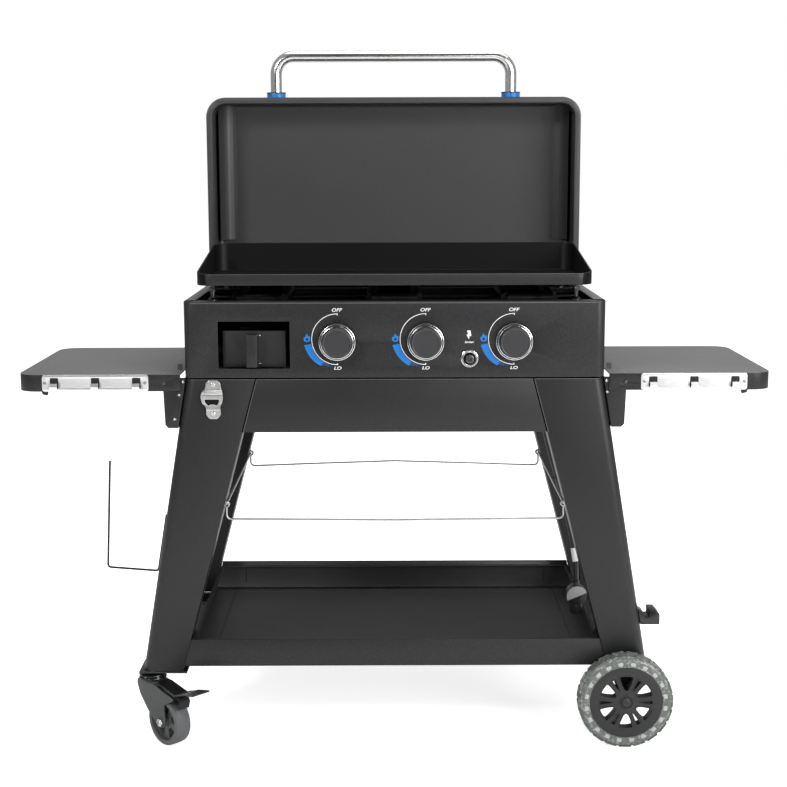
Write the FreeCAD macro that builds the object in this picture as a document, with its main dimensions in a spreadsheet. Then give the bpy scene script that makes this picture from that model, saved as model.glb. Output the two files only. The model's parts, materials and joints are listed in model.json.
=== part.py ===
import FreeCAD, Part
import math
import os

import Sketcher
from FreeCAD import Placement, Rotation, Vector

# Outdoor gas griddle station: a steel cart with splayed sheet-metal legs carries a burner box,
# a griddle plate under a hinged lid, two folding side shelves, two casters and two big wheels.
# Millimetres. X runs to the right seen from the front, Y to the back, Z up. The origin is on the
# floor under the middle of the cart.

DRIVING = {
    # Cart
    "cart_depth": 546, "sheet": 2, "clearance": 0.3, "leg_inset": 1.7, "leg_top_width": 137.3,
    "leg_splay": 100, "leg_foot_width": 80.3, "leg_side": 70, "leg_return": 22, "leg_bend": 20,
    "caster_room": 49, "apron_height": 108, "side_rail_height": 106, "shelf_lift": 10.3,
    "shelf_lip": 54.7, "shelf_hem": 9, "shelf_gap": 2, "rear_lip_rise": 11,
    # Burner box
    "box_width": 818, "box_height": 148, "box_bottom": 743, "panel_proud": 2, "panel_return": 42,
    "panel_bend": 18, "panel_flange": 14, "side_flange": 21, "deck_gap": 43, "slot_length": 60,
    "slot_width": 7, "slot_pitch": 74, "slot_row_gap": 26, "slot_count": 10,
    "knob_rise": 70.5, "knob_first": -111, "knob_pitch": 171, "stem_hole": 7,
    "window_in": 67, "window_wide": 139, "window_rise": 18, "window_tall": 92,
    "igniter_across": 145, "igniter_rise": 37, "igniter_hole": 12.5,
    # Griddle
    "griddle_inset": 22.5, "griddle_front": 20, "griddle_depth": 325, "griddle_lift": 29,
    "griddle_floor": 6, "griddle_wall": 4, "front_wall": 22, "rear_wall": 65, "griddle_corner": 34,
    "trough_depth": 3, "trough_width": 62, "drain_length": 40, "drain_width": 12,
    "foot_in": 31.5, "foot_set_in": 22, "foot_radius": 9, "stud_radius": 4, "rail_width": 26,
    "rail_height": 13, "burner_radius": 11, "burner_pitch": 268, "burner_spread": 90,
    "burner_front_gap": 58, "burner_rear_gap": 47, "burner_drop": 1, "strap_width": 20,
    # Lid, drawn open
    "lid_side_gap": 3.5, "lid_overhang": 8, "rim_offset": 20, "lid_depth": 100, "lid_hem": 10,
    "lid_corner": 31, "lid_bend": 12, "pivot_rise": 21, "pivot_gap": 37, "lid_heel": 18,
    "lid_notch": 3, "vent_gap": 25, "handle_across": 253, "handle_radius": 12, "handle_rise": 98,
    "handle_bend": 38, "handle_wall": 2, "handle_set_back": 48, "spacer_radius": 20,
    "spacer_height": 22, "pin_radius": 4, "pin_play": 0.06, "hinge_width": 22, "hinge_sheet": 2.7,
    # Controls
    "knob_radius": 36, "knob_skirt": 9, "cap_radius": 29, "knob_length": 30, "knob_gap": 5,
    "notch_width": 4, "notch_depth": 6, "stem_radius": 4, "stem_play": 0.06, "valve_width": 26,
    "button_radius": 9, "button_proud": 7, "button_travel": 4, "bezel_radius": 17, "bezel_thick": 4,
    "barrel_length": 20, "tray_gap_left": 7, "tray_gap_right": 9, "tray_tall": 71.5, "tray_set_back": 18,
    "tray_length": 300, "tray_drop": 0.5, "tray_wall": 1.5, "tray_handle_in": 48, "tray_handle_width": 21,
    "tray_handle_lift": 2.5, "tray_handle_tall": 63.5, "tray_handle_depth": 24, "runner_width": 10,
    # Side shelves
    "shelf_in": 10.7, "shelf_length": 319, "shelf_rise": 6, "shelf_thick": 33, "shelf_front": 5,
    "shelf_depth": 413, "shelf_corner": 38, "pivot_out": 42.7, "pivot_drop": 17, "bracket_tall": 73.5,
    "bracket_ear": 6, "bracket_step": 4, "bracket_taper": 2.3, "bracket_corner": 6,
    "strip_length": 207, "strip_in": 50, "strip_thick": 1.6, "hook_width": 14,
    "hook_reach": 9, "hook_height": 17, "hook_pitch": 80,
    # Running gear
    "wheel_radius": 95, "wheel_width": 38, "tyre_thick": 22, "tyre_edge": 8, "web_half": 5,
    "rim_wall": 6, "wheel_in": 49.3, "wheel_gap": 6, "axle_radius": 6, "axle_play": 0.06,
    "hub_radius": 20, "bracket_drop": 16, "caster_in": 15.3, "caster_set_in": 28.7, "caster_yaw": -45,
    "caster_radius": 49, "caster_width": 30, "caster_edge": 5, "caster_trail": 52, "caster_plate": 4,
    "plate_proud": 8, "plate_depth": 76, "race_height": 10, "race_radius": 28, "fork_sheet": 3, "fork_gap": 3,
    "pedal_reach": 158, "pedal_width": 34,
    # Fittings
    "opener_in": 50.3, "opener_width": 42, "opener_tall": 77, "opener_drop": 3.7, "claw_rise": 24,
    "claw_tall": 18, "holder_wire": 2.2, "holder_set_in": 40, "holder_low": 345, "holder_tall": 116,
    "holder_reach": 101.2, "holder_lean": 11, "holder_rise": 8, "holder_post": 218, "rest_low": 237,
    "rest_tall": 29, "rest_reach": 38.8, "rest_slot": 10, "rest_slot_in": 21, "rest_bar": 14,
    "rest_depth": 44, "rest_slant": 7, "rest_chamfer": 8,
    "wire_radius": 2.5, "wire_height": 487, "wire_drop": 30, "wire_set_in": 18,
    # Gas
    "hose_radius": 5, "hose_in": 95, "hose_hole_gap": 3, "manifold_radius": 7, "manifold_back": 250,
    "regulator_across": 386, "regulator_back": 200, "regulator_height": 245, "regulator_radius": 21,
    "regulator_depth": 32, "boss_height": 10, "nut_drop": 42, "nut_length": 30,
}


class Size:
    """A size with its value and the expression that gives it from the sheet."""

    def __init__(self, value, text):
        self.value = float(value)
        self.text = text

    def __add__(self, other):
        other = as_size(other)
        return Size(self.value + other.value, f"({self.text} + {other.text})")

    def __sub__(self, other):
        other = as_size(other)
        return Size(self.value - other.value, f"({self.text} - {other.text})")

    def __mul__(self, other):
        other = as_size(other)
        return Size(self.value * other.value, f"({self.text} * {other.text})")

    def __truediv__(self, other):
        other = as_size(other)
        return Size(self.value / other.value, f"({self.text} / {other.text})")

    def __neg__(self):
        return Size(-self.value, f"(0 - {self.text})")

    def __radd__(self, other):
        return as_size(other) + self

    def __rsub__(self, other):
        return as_size(other) - self

    def __rmul__(self, other):
        return as_size(other) * self

    def __float__(self):
        return self.value


def as_size(number):
    if isinstance(number, Size):
        return number
    return Size(number, f"({number:.9g})")


class Sizes:
    """The driving dimensions as attributes, each tied to its cell of the sheet."""

    def __init__(self, sheet, table):
        for row, (alias, value) in enumerate(table.items(), start=1):
            sheet.set(f"A{row}", alias)
            sheet.set(f"B{row}", str(value))
            sheet.setAlias(f"B{row}", alias)
            setattr(self, alias, Size(value, f"sizes.{alias}"))


doc = FreeCAD.newDocument("griddle_station")
sheet = doc.addObject("Spreadsheet::Sheet", "sizes")
S = Sizes(sheet, DRIVING)
doc.recompute()

NODES = {}


def bind(thing, prop, amount):
    amount = as_size(amount)
    thing.setExpression(prop, amount.text)


def place(thing, x, y, z, turn=None, yaw=None):
    """Puts a thing at a point, with a fixed turn or a turn about Z by an angle of the sheet."""
    if turn is not None:
        thing.Placement = Placement(Vector(0, 0, 0), turn)
    if yaw is not None:
        thing.Placement = Placement(Vector(0, 0, 0), Rotation(Vector(0, 0, 1), float(yaw)))
    for letter, amount in zip("xyz", (x, y, z)):
        bind(thing, f"Placement.Base.{letter}", amount)
    return thing


def keep(node, thing):
    """Names the finished thing after its node."""
    thing.Label = node
    NODES[node] = thing
    return thing


# Solids and booleans
TURNS = {
    "X": Rotation(Vector(0, 1, 0), 90),
    "Y": Rotation(Vector(1, 0, 0), -90),
    "Z": Rotation(),
}


def block(name, x0, x1, y0, y1, z0, z1):
    box = doc.addObject("Part::Box", name)
    for prop, low, high in (("Length", x0, x1), ("Width", y0, y1), ("Height", z0, z1)):
        bind(box, prop, as_size(high) - low)
    return place(box, x0, y0, z0)


def rod(name, radius, x, y, z, axis, length):
    cylinder = doc.addObject("Part::Cylinder", name)
    bind(cylinder, "Radius", radius)
    bind(cylinder, "Height", length)
    return place(cylinder, x, y, z, TURNS[axis])


def fuse(name, *pieces):
    joined = doc.addObject("Part::MultiFuse", name)
    joined.Shapes = list(pieces)
    return joined


def cut(name, base, *tools):
    result = doc.addObject("Part::Cut", name)
    result.Base = base
    result.Tool = tools[0] if len(tools) == 1 else fuse(name + "_tools", *tools)
    return result


def group(name, pieces):
    together = doc.addObject("Part::Compound", name)
    together.Links = list(pieces)
    return together


def nearest_edges(shape, points):
    """Numbers of the edges whose middles lie nearest to the points."""
    found = []
    for point in points:
        target = Vector(*[float(p) for p in point])
        gaps = [
            (edge.valueAt((edge.FirstParameter + edge.LastParameter) / 2) - target).Length
            for edge in shape.Edges
        ]
        found.append(gaps.index(min(gaps)) + 1)
    return sorted(set(found))


# Bodies with sketches
FACING = {"XY": 1, "YZ": 1, "XZ": -1}


def draw(body, plane, offset, outlines):
    """A sketch on a plane of the body's origin, with every corner and circle bound to the sheet."""
    sketch = body.newObject("Sketcher::SketchObject", body.Name + "_sketch")
    role = plane + "_Plane"
    origin = [f for f in body.Origin.OriginFeatures if f.Role == role][0]
    sketch.AttachmentSupport = [(origin, "")]
    sketch.MapMode = "FlatFace"
    bind(sketch, "AttachmentOffset.Base.z", as_size(offset) * FACING[plane])
    for outline in outlines:
        if outline[0] == "circle":
            draw_circle(sketch, *outline[1:])
        else:
            draw_polygon(sketch, outline)
    return sketch


def pin_point(sketch, geometry, end, x, y):
    for kind, amount in (("DistanceX", as_size(x)), ("DistanceY", as_size(y))):
        rule = Sketcher.Constraint(kind, -1, 1, geometry, end, amount.value)
        number = sketch.addConstraint(rule)
        sketch.setExpression(f"Constraints[{number}]", amount.text)


def draw_polygon(sketch, corners):
    first = sketch.GeometryCount
    count = len(corners)
    spots = [Vector(float(x), float(y), 0) for x, y in corners]
    for i in range(count):
        sketch.addGeometry(Part.LineSegment(spots[i], spots[(i + 1) % count]))
    for i in range(count):
        following = first + (i + 1) % count
        sketch.addConstraint(Sketcher.Constraint("Coincident", first + i, 2, following, 1))
    for i, (x, y) in enumerate(corners):
        pin_point(sketch, first + i, 1, x, y)


def draw_circle(sketch, x, y, radius):
    radius = as_size(radius)
    middle = Vector(float(x), float(y), 0)
    number = sketch.addGeometry(Part.Circle(middle, Vector(0, 0, 1), radius.value))
    pin_point(sketch, number, 3, x, y)
    rule = sketch.addConstraint(Sketcher.Constraint("Radius", number, radius.value))
    sketch.setExpression(f"Constraints[{rule}]", radius.text)


def plate(name, plane, start, length, *outlines):
    """A body padded from a plane at start, along the positive axis."""
    body = doc.addObject("PartDesign::Body", name)
    add_pad(body, plane, start, length, *outlines)
    return body


def add_pad(body, plane, start, length, *outlines):
    sketch = draw(body, plane, start, outlines)
    pad = body.newObject("PartDesign::Pad", body.Name + "_pad")
    pad.Profile = sketch
    bind(pad, "Length", length)
    pad.Reversed = FACING[plane] < 0
    doc.recompute()
    return pad


def add_pocket(body, plane, start, length, *outlines):
    """Cuts from a plane at start, along the positive axis."""
    sketch = draw(body, plane, start, outlines)
    pocket = body.newObject("PartDesign::Pocket", body.Name + "_pocket")
    pocket.Profile = sketch
    bind(pocket, "Length", length)
    pocket.Reversed = FACING[plane] > 0
    doc.recompute()
    return pocket


def add_fillet(body, radius, points):
    """Rounds the edges nearest to the points, with a radius bound to the sheet."""
    tip = body.Tip
    numbers = nearest_edges(tip.Shape, points)
    fillet = body.newObject("PartDesign::Fillet", body.Name + "_fillet")
    fillet.Base = (tip, [f"Edge{number}" for number in numbers])
    bind(fillet, "Radius", radius)
    doc.recompute()
    return fillet


def add_thickness(body, amount, open_point):
    """Hollows the body to a wall of the given amount, open at the face nearest to the point."""
    tip = body.Tip
    target = Vector(*[float(p) for p in open_point])
    gaps = [(face.CenterOfMass - target).Length for face in tip.Shape.Faces]
    shell = body.newObject("PartDesign::Thickness", body.Name + "_shell")
    shell.Base = (tip, [f"Face{gaps.index(min(gaps)) + 1}"])
    bind(shell, "Value", amount)
    shell.Reversed = True
    doc.recompute()
    return shell


def polar(body, feature, count, axis_role):
    """Repeats a feature round an axis of the body's origin."""
    pattern = body.newObject("PartDesign::PolarPattern", body.Name + "_pattern")
    pattern.Originals = [feature]
    axis = [f for f in body.Origin.OriginFeatures if f.Role == axis_role][0]
    pattern.Axis = (axis, [""])
    pattern.Angle = 360
    pattern.Occurrences = count
    body.Tip = pattern
    doc.recompute()
    return pattern


def turned(name, outline):
    """A body turned about its own Y axis from an outline of (radius, along) corners."""
    body = doc.addObject("PartDesign::Body", name)
    sketch = draw(body, "XY", 0, [outline])
    turn = body.newObject("PartDesign::Revolution", name + "_turn")
    turn.Profile = sketch
    turn.ReferenceAxis = (sketch, ["V_Axis"])
    turn.Angle = 360
    doc.recompute()
    return body


def tube(name, points, radius, bend, bore=0):
    """A round tube or wire along straight runs joined by tangent arcs of one bend radius."""
    spots = [Vector(*[float(c) for c in point]) for point in points]
    edges, at = [], spots[0]
    for before, corner, after in zip(spots, spots[1:], spots[2:]):
        back = (before - corner).normalize()
        ahead = (after - corner).normalize()
        half = back.getAngle(ahead) / 2
        reach = bend_at(bend, before, corner, after) / math.tan(half)
        start, end = corner + back * reach, corner + ahead * reach
        inward = (back + ahead).normalize()
        middle = corner + inward * (reach / math.cos(half) - reach * math.tan(half))
        if (start - at).Length > 1e-6:
            edges.append(Part.LineSegment(at, start).toShape())
        edges.append(Part.Arc(start, middle, end).toShape())
        at = end
    edges.append(Part.LineSegment(at, spots[-1]).toShape())
    path = Part.Wire(edges)
    direction = spots[1] - spots[0]
    solid = sweep_circle(path, spots[0], direction, float(radius))
    if bore:
        solid = solid.cut(sweep_circle(path, spots[0], direction, float(bore)))
    feature = doc.addObject("Part::Feature", name)
    feature.Shape = solid
    return feature, path.Length


def bend_at(bend, before, corner, after):
    """The bend's radius, or 0.45 of the shorter run over the tangent of half the turn."""
    if bend is not None:
        return float(bend)
    turn = math.pi - (before - corner).getAngle(after - corner)
    shorter = min((before - corner).Length, (after - corner).Length)
    return 0.45 * shorter / math.tan(turn / 2)


def sweep_circle(path, start, direction, radius):
    ring = Part.Wire(Part.makeCircle(radius, start, direction))
    return path.makePipeShell([ring], True, False)


# Places that several pieces share
front = -S.cart_depth / 2
rear = S.cart_depth / 2
half_box = S.box_width / 2
box_top = S.box_bottom + S.box_height
panel_front = front - S.panel_proud
leg_top = S.box_bottom - S.clearance
leg_foot = S.caster_radius * 2 + S.caster_room
leg_top_outer = half_box - S.leg_inset
leg_top_inner = leg_top_outer - S.leg_top_width
leg_foot_outer = leg_top_outer + S.leg_splay
leg_foot_inner = leg_foot_outer - S.leg_foot_width
leg_fall = leg_top - leg_foot
outer_slope = (leg_foot_outer - leg_top_outer) / leg_fall
inner_slope = (leg_foot_inner - leg_top_inner) / leg_fall
tray_floor = leg_foot + S.shelf_lift
knob_z = S.box_bottom + S.knob_rise
igniter_z = S.box_bottom + S.igniter_rise
window_left = S.window_in - half_box
window_right = window_left + S.window_wide
window_low = S.box_bottom + S.window_rise
window_high = window_low + S.window_tall
pan_left = window_left + S.tray_gap_left
pan_right = window_right - S.tray_gap_right
half_griddle = half_box - S.griddle_inset
griddle_y = front + S.griddle_front
griddle_back = griddle_y + S.griddle_depth
griddle_low = box_top + S.griddle_lift
front_rim = griddle_low + S.front_wall
rear_rim = griddle_low + S.rear_wall
pivot_y = griddle_back + S.pivot_gap
pivot_z = box_top + S.pivot_rise
half_lid = half_griddle + S.lid_side_gap
rim_y = pivot_y - S.rim_offset
lid_back = rim_y + S.lid_depth
lid_top = pivot_z + (pivot_y - griddle_y) + S.lid_overhang
shelf_start = leg_top_outer + S.shelf_in
shelf_end = shelf_start + S.shelf_length
shelf_pivot = leg_top_outer + S.pivot_out
shelf_top = S.box_bottom + S.shelf_rise
shelf_bottom = shelf_top - S.shelf_thick
shelf_y = front + S.shelf_front
hose_x = half_box - S.hose_in
hose_y = front + S.manifold_back
SIDES = (("left", -1), ("right", 1))
ENDS = (("front", 1), ("rear", -1))


def leg_outer(height):
    return leg_top_outer + (leg_top - height) * outer_slope


def leg_inner(height):
    return leg_top_inner + (leg_top - height) * inner_slope


def span(side, a, b):
    """The two ends of a stretch in X, mirrored to its side, low end first."""
    return (a, b) if side > 0 else (-as_size(b), -as_size(a))


# Legs: folded channels that taper and splay outwards
def leg_outline(side, inset_in, inset_out, reach):
    """The leg's front outline between two insets, from the foot to the top."""
    low, high = leg_foot - reach, leg_top + reach
    corners = [
        (leg_inner(low) + inset_in, low), (leg_outer(low) - inset_out, low),
        (leg_outer(high) - inset_out, high), (leg_inner(high) + inset_in, high),
    ]
    return [(x * side, z) for x, z in corners]


def depth_run(end, near, far):
    """Start and length of a stretch behind the front face, or before the rear one."""
    length = as_size(far) - near
    return (front + near, length) if end > 0 else (rear - far, length)


def leg(side, end, name):
    body = plate(name, "XZ", *depth_run(end, 0, S.leg_side), leg_outline(side, 0, 0, 0))
    hollow = leg_outline(side, S.sheet, S.sheet, S.sheet)
    add_pocket(body, "XZ", *depth_run(end, S.sheet, S.leg_side + S.sheet), hollow)
    width = S.leg_top_width
    open_side = leg_outline(side, -S.sheet, width - S.sheet * 3, S.sheet)
    add_pocket(body, "XZ", *depth_run(end, S.leg_return, S.leg_side + S.sheet), open_side)
    middle = (leg_foot + leg_top) / 2
    outer = leg_outer(middle)
    inside = ((outer - S.sheet) * side, (front + S.sheet) * end, middle)
    add_fillet(body, S.leg_bend - S.sheet, [inside])
    add_fillet(body, S.leg_bend, [(outer * side, front * end, middle)])
    return keep(name, body)


for end_name, end in ENDS:
    for side_name, side in SIDES:
        leg(side, end, f"leg_{end_name}_{side_name}")


# Aprons close the front and the back between the legs
def apron(end, name):
    low = leg_top - S.apron_height
    gap = S.clearance
    outline = [
        (-(leg_inner(low) - gap), low), (leg_inner(low) - gap, low),
        (leg_inner(leg_top) - gap, leg_top), (-(leg_inner(leg_top) - gap), leg_top),
    ]
    start = front if end > 0 else rear - S.sheet
    body = plate(name, "XZ", start, S.sheet, outline)
    fold = front + S.sheet if end > 0 else rear - S.sheet - S.panel_flange
    inset = leg_inner(low) - S.leg_return
    hem = [(-inset, fold), (inset, fold), (inset, fold + S.panel_flange), (-inset, fold + S.panel_flange)]
    add_pad(body, "XY", low, S.sheet, hem)
    return keep(name, body)


for end_name, end in ENDS:
    apron(end, f"apron_{end_name}")

rails = []
for side_name, side in SIDES:
    wall = leg_top_outer - S.sheet * 2
    low = leg_top - S.side_rail_height
    rail = [
        (wall * side, low), ((wall + S.sheet) * side, low), ((wall + S.sheet) * side, leg_top),
        ((wall - S.panel_flange) * side, leg_top), ((wall - S.panel_flange) * side, leg_top - S.sheet),
        (wall * side, leg_top - S.sheet),
    ]
    start = front + S.leg_side + S.clearance
    length = S.cart_depth - (S.leg_side + S.clearance) * 2
    rails.append(plate(f"side_rail_{side_name}", "XZ", start, length, rail))
keep("side_rails", group("side_rails_group", rails))


# Bottom shelf: a folded tray whose ends follow the legs
tray_top = tray_floor + S.shelf_lip
top_half = leg_inner(tray_top) - S.clearance
low_half = leg_inner(tray_floor) - S.clearance
tray_slope = (low_half - top_half) / S.shelf_lip
shelf_depth = S.cart_depth - S.shelf_gap * 2
tray_outline = [
    (-low_half, tray_floor), (low_half, tray_floor),
    (top_half, tray_top), (-top_half, tray_top),
]
bottom_shelf = plate("bottom_shelf_body", "XZ", front + S.shelf_gap, shelf_depth, tray_outline)
inner_low = tray_floor + S.sheet
inner_foot = inner_low + S.shelf_hem
foot_half = low_half - S.sheet - tray_slope * (S.sheet + S.shelf_hem)
hollow_outline = [
    (-foot_half, inner_low), (foot_half, inner_low), (foot_half, inner_foot),
    (top_half - S.sheet, tray_top - S.sheet), (-(top_half - S.sheet), tray_top - S.sheet),
    (-foot_half, inner_foot),
]
hollow_start = front + S.shelf_gap + S.sheet
add_pocket(bottom_shelf, "XZ", hollow_start, shelf_depth - S.sheet * 2, hollow_outline)
mouth_x = top_half - S.shelf_hem
mouth_y = rear - S.shelf_gap - S.shelf_hem
mouth = [(-mouth_x, -mouth_y), (mouth_x, -mouth_y), (mouth_x, mouth_y), (-mouth_x, mouth_y)]
add_pocket(bottom_shelf, "XY", tray_top - S.sheet * 2, S.sheet * 3, mouth)
rise_top = tray_top + S.rear_lip_rise
rise_half = leg_inner(rise_top) - S.clearance
rise = [
    (-top_half, tray_top - S.sheet), (top_half, tray_top - S.sheet), (rise_half, rise_top), (-rise_half, rise_top),
]
add_pad(bottom_shelf, "XZ", rear - S.shelf_gap - S.sheet, S.sheet, rise)
keep("bottom_shelf", bottom_shelf)

# Burner box: the control panel wraps round the front corners
panel_back = panel_front + S.panel_return
wrap = [
    (-half_box, panel_front), (half_box, panel_front), (half_box, panel_back),
    (half_box - S.sheet, panel_back), (half_box - S.sheet, panel_front + S.sheet),
    (-(half_box - S.sheet), panel_front + S.sheet), (-(half_box - S.sheet), panel_back),
    (-half_box, panel_back),
]
panel = plate("control_panel_body", "XY", S.box_bottom, S.box_height, wrap)
mid_height = S.box_bottom + S.box_height / 2
inside = [((half_box - S.sheet) * s, panel_front + S.sheet, mid_height) for s in (-1, 1)]
add_fillet(panel, S.panel_bend - S.sheet, inside)
add_fillet(panel, S.panel_bend, [(half_box * s, panel_front, mid_height) for s in (-1, 1)])
flange_half = half_box - S.panel_bend
flange_y = panel_front + S.sheet / 2
flange = [
    (-flange_half, flange_y), (flange_half, flange_y),
    (flange_half, panel_front + S.panel_flange), (-flange_half, panel_front + S.panel_flange),
]
add_pad(panel, "XY", box_top - S.sheet, S.sheet, flange)
window = [
    (window_left, window_low), (window_right, window_low),
    (window_right, window_high), (window_left, window_high),
]
knob_places = [S.knob_first + S.knob_pitch * i for i in range(3)]
holes = [("circle", x, knob_z, S.stem_hole) for x in knob_places]
holes.append(("circle", S.igniter_across, igniter_z, S.igniter_hole))
add_pocket(panel, "XZ", panel_front - S.sheet, S.sheet * 3, window, *holes)
keep("control_panel", panel)

for side_name, side in SIDES:
    fold = [
        (half_box * side, S.box_bottom), (half_box * side, box_top),
        ((half_box - S.side_flange) * side, box_top),
        ((half_box - S.side_flange) * side, box_top - S.sheet),
        ((half_box - S.sheet) * side, box_top - S.sheet), ((half_box - S.sheet) * side, S.box_bottom),
    ]
    wall = plate(f"box_side_{side_name}_body", "XZ", panel_back, rear - panel_back, fold)
    keep(f"box_side_{side_name}", wall)

inner_half = half_box - S.sheet
inner_front = panel_front + S.sheet
inner_rear = rear - S.sheet
rear_plate = block("box_rear_plate", -inner_half, inner_half, inner_rear, rear, S.box_bottom, box_top - S.sheet)
keep("box_rear", rear_plate)
floor_outline = [
    (-inner_half, inner_front), (inner_half, inner_front), (inner_half, inner_rear), (-inner_half, inner_rear),
]
box_floor = plate("box_floor_body", "XY", S.box_bottom, S.sheet, floor_outline)
floor_edge = S.box_bottom + S.sheet / 2
add_fillet(box_floor, S.panel_bend - S.sheet, [(inner_half * s, inner_front, floor_edge) for s in (-1, 1)])
hose_hole = ("circle", hose_x, hose_y, S.manifold_radius + S.hose_hole_gap)
add_pocket(box_floor, "XY", S.box_bottom - S.sheet, S.sheet * 3, hose_hole)
keep("box_floor", box_floor)

# Vent deck behind the lid, with rows of slots
deck_half = half_box - S.side_flange
deck_y = pivot_y + S.deck_gap
deck_outline = [(-deck_half, deck_y), (deck_half, deck_y), (deck_half, rear), (-deck_half, rear)]
deck = plate("vent_deck_body", "XY", box_top - S.sheet, S.sheet, deck_outline)
deck_middle = (deck_y + rear) / 2
slots = []
for row in (-1, 1):
    for i in range(int(DRIVING["slot_count"])):
        x = (i - (DRIVING["slot_count"] - 1) / 2) * S.slot_pitch
        y = deck_middle + S.slot_row_gap * row
        slots.append([
            (x - S.slot_length / 2, y - S.slot_width / 2), (x + S.slot_length / 2, y - S.slot_width / 2),
            (x + S.slot_length / 2, y + S.slot_width / 2), (x - S.slot_length / 2, y + S.slot_width / 2),
        ])
add_pocket(deck, "XY", box_top - S.sheet * 2, S.sheet * 3, *slots)
keep("vent_deck", deck)

# Rails across the box carry the griddle's feet, and runners carry the grease tray
foot_rows = [griddle_y + S.foot_set_in, griddle_back - S.foot_set_in]
rail_top = box_top - S.sheet
box_rails = []
for i, y in enumerate(foot_rows):
    angle = [
        (y - S.rail_width / 2, rail_top - S.sheet), (y + S.rail_width / 2 - S.sheet, rail_top - S.sheet),
        (y + S.rail_width / 2 - S.sheet, rail_top - S.rail_height),
        (y + S.rail_width / 2, rail_top - S.rail_height), (y + S.rail_width / 2, rail_top),
        (y - S.rail_width / 2, rail_top),
    ]
    box_rails.append(plate(f"griddle_rail_{i}", "YZ", -inner_half, inner_half * 2, angle))
tray_low = window_low + S.tray_drop
runner_low = S.box_bottom + S.sheet
tray_back = panel_front + S.tray_set_back + S.tray_length
for x0, x1 in (
    (pan_left - S.runner_width, pan_left + S.runner_width / 2),
    (pan_right - S.runner_width / 2, pan_right + S.runner_width),
):
    box_rails.append(block("tray_runner", x0, x1, inner_front, tray_back, runner_low, tray_low - S.clearance))
burner_z = box_top - S.burner_drop
burner_y = griddle_y + S.burner_front_gap
burner_length = S.griddle_depth - S.burner_front_gap - S.burner_rear_gap
strap_top = burner_z - S.burner_radius - S.clearance
for share in (0.2, 0.8):
    y = burner_y + burner_length * share
    strap = block(
        "burner_strap", -inner_half, inner_half, y - S.strap_width / 2, y + S.strap_width / 2,
        strap_top - S.sheet, strap_top,
    )
    box_rails.append(strap)
keep("box_rails", group("box_rails_group", box_rails))

# Griddle plate: a walled steel plate, low in front and high behind, with a grease trough
rim = [
    (-half_griddle, griddle_y), (half_griddle, griddle_y), (half_griddle, griddle_back), (-half_griddle, griddle_back),
]
griddle = plate("griddle_body", "XY", griddle_low, S.rear_wall, rim)
corner_height = (griddle_low + rear_rim) / 2
wall = S.griddle_wall
well = [
    (-(half_griddle - wall), griddle_y + wall), (half_griddle - wall, griddle_y + wall),
    (half_griddle - wall, griddle_back - wall), (-(half_griddle - wall), griddle_back - wall),
]
plate_top = griddle_low + S.griddle_floor
add_pocket(griddle, "XY", plate_top, rear_rim - plate_top, well)
add_fillet(griddle, S.griddle_corner - wall, [(x, y, (plate_top + rear_rim) / 2) for x, y in well])
add_fillet(griddle, S.griddle_corner, [(x, y, corner_height) for x, y in rim])
rim_slope = [
    (griddle_y - wall, front_rim), (griddle_y, front_rim), (griddle_back, rear_rim),
    (griddle_back, rear_rim + S.griddle_wall), (griddle_y - wall, rear_rim + S.griddle_wall),
]
add_pocket(griddle, "YZ", -(half_griddle + wall), (half_griddle + wall) * 2, rim_slope)
trough_y = griddle_y + wall * 2
trough_half = half_griddle - S.griddle_corner
trough = [
    (-trough_half, trough_y), (trough_half, trough_y),
    (trough_half, trough_y + S.trough_width), (-trough_half, trough_y + S.trough_width),
]
add_pocket(griddle, "XY", plate_top - S.trough_depth, S.trough_depth, trough)
drain_y = trough_y + S.trough_width / 2
drain_x = (pan_left + pan_right) / 2
drain = [
    (drain_x - S.drain_length / 2, drain_y - S.drain_width / 2),
    (drain_x + S.drain_length / 2, drain_y - S.drain_width / 2),
    (drain_x + S.drain_length / 2, drain_y + S.drain_width / 2),
    (drain_x - S.drain_length / 2, drain_y + S.drain_width / 2),
]
add_pocket(griddle, "XY", griddle_low - S.sheet, S.griddle_floor + S.sheet * 2, drain)
keep("griddle_plate", griddle)

feet = []
for x in (S.foot_in - half_griddle, half_griddle - S.foot_in):
    for y in foot_rows:
        pad_height = S.foot_radius
        low = rail_top + S.clearance / 2
        pad = rod("griddle_foot_pad", S.foot_radius, x, y, low, "Z", pad_height)
        stud = rod("griddle_foot_stud", S.stud_radius, x, y, low, "Z", griddle_low - low)
        feet.append(fuse("griddle_foot", pad, stud))
keep("griddle_feet", group("griddle_feet_group", feet))

# Burners: two legs joined by a cross tube at each end
burners = []
for i in (-1, 0, 1):
    x = S.burner_pitch * i
    legs = [
        rod("burner_leg", S.burner_radius, x + S.burner_spread / 2 * s, burner_y, burner_z, "Y", burner_length)
        for s in (-1, 1)
    ]
    cross = [
        rod("burner_cross", S.burner_radius, x - S.burner_spread / 2, y, burner_z, "X", S.burner_spread)
        for y in (burner_y, burner_y + burner_length)
    ]
    burners.append(fuse("burner", *legs, *cross))
keep("burners", group("burners_group", burners))

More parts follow.
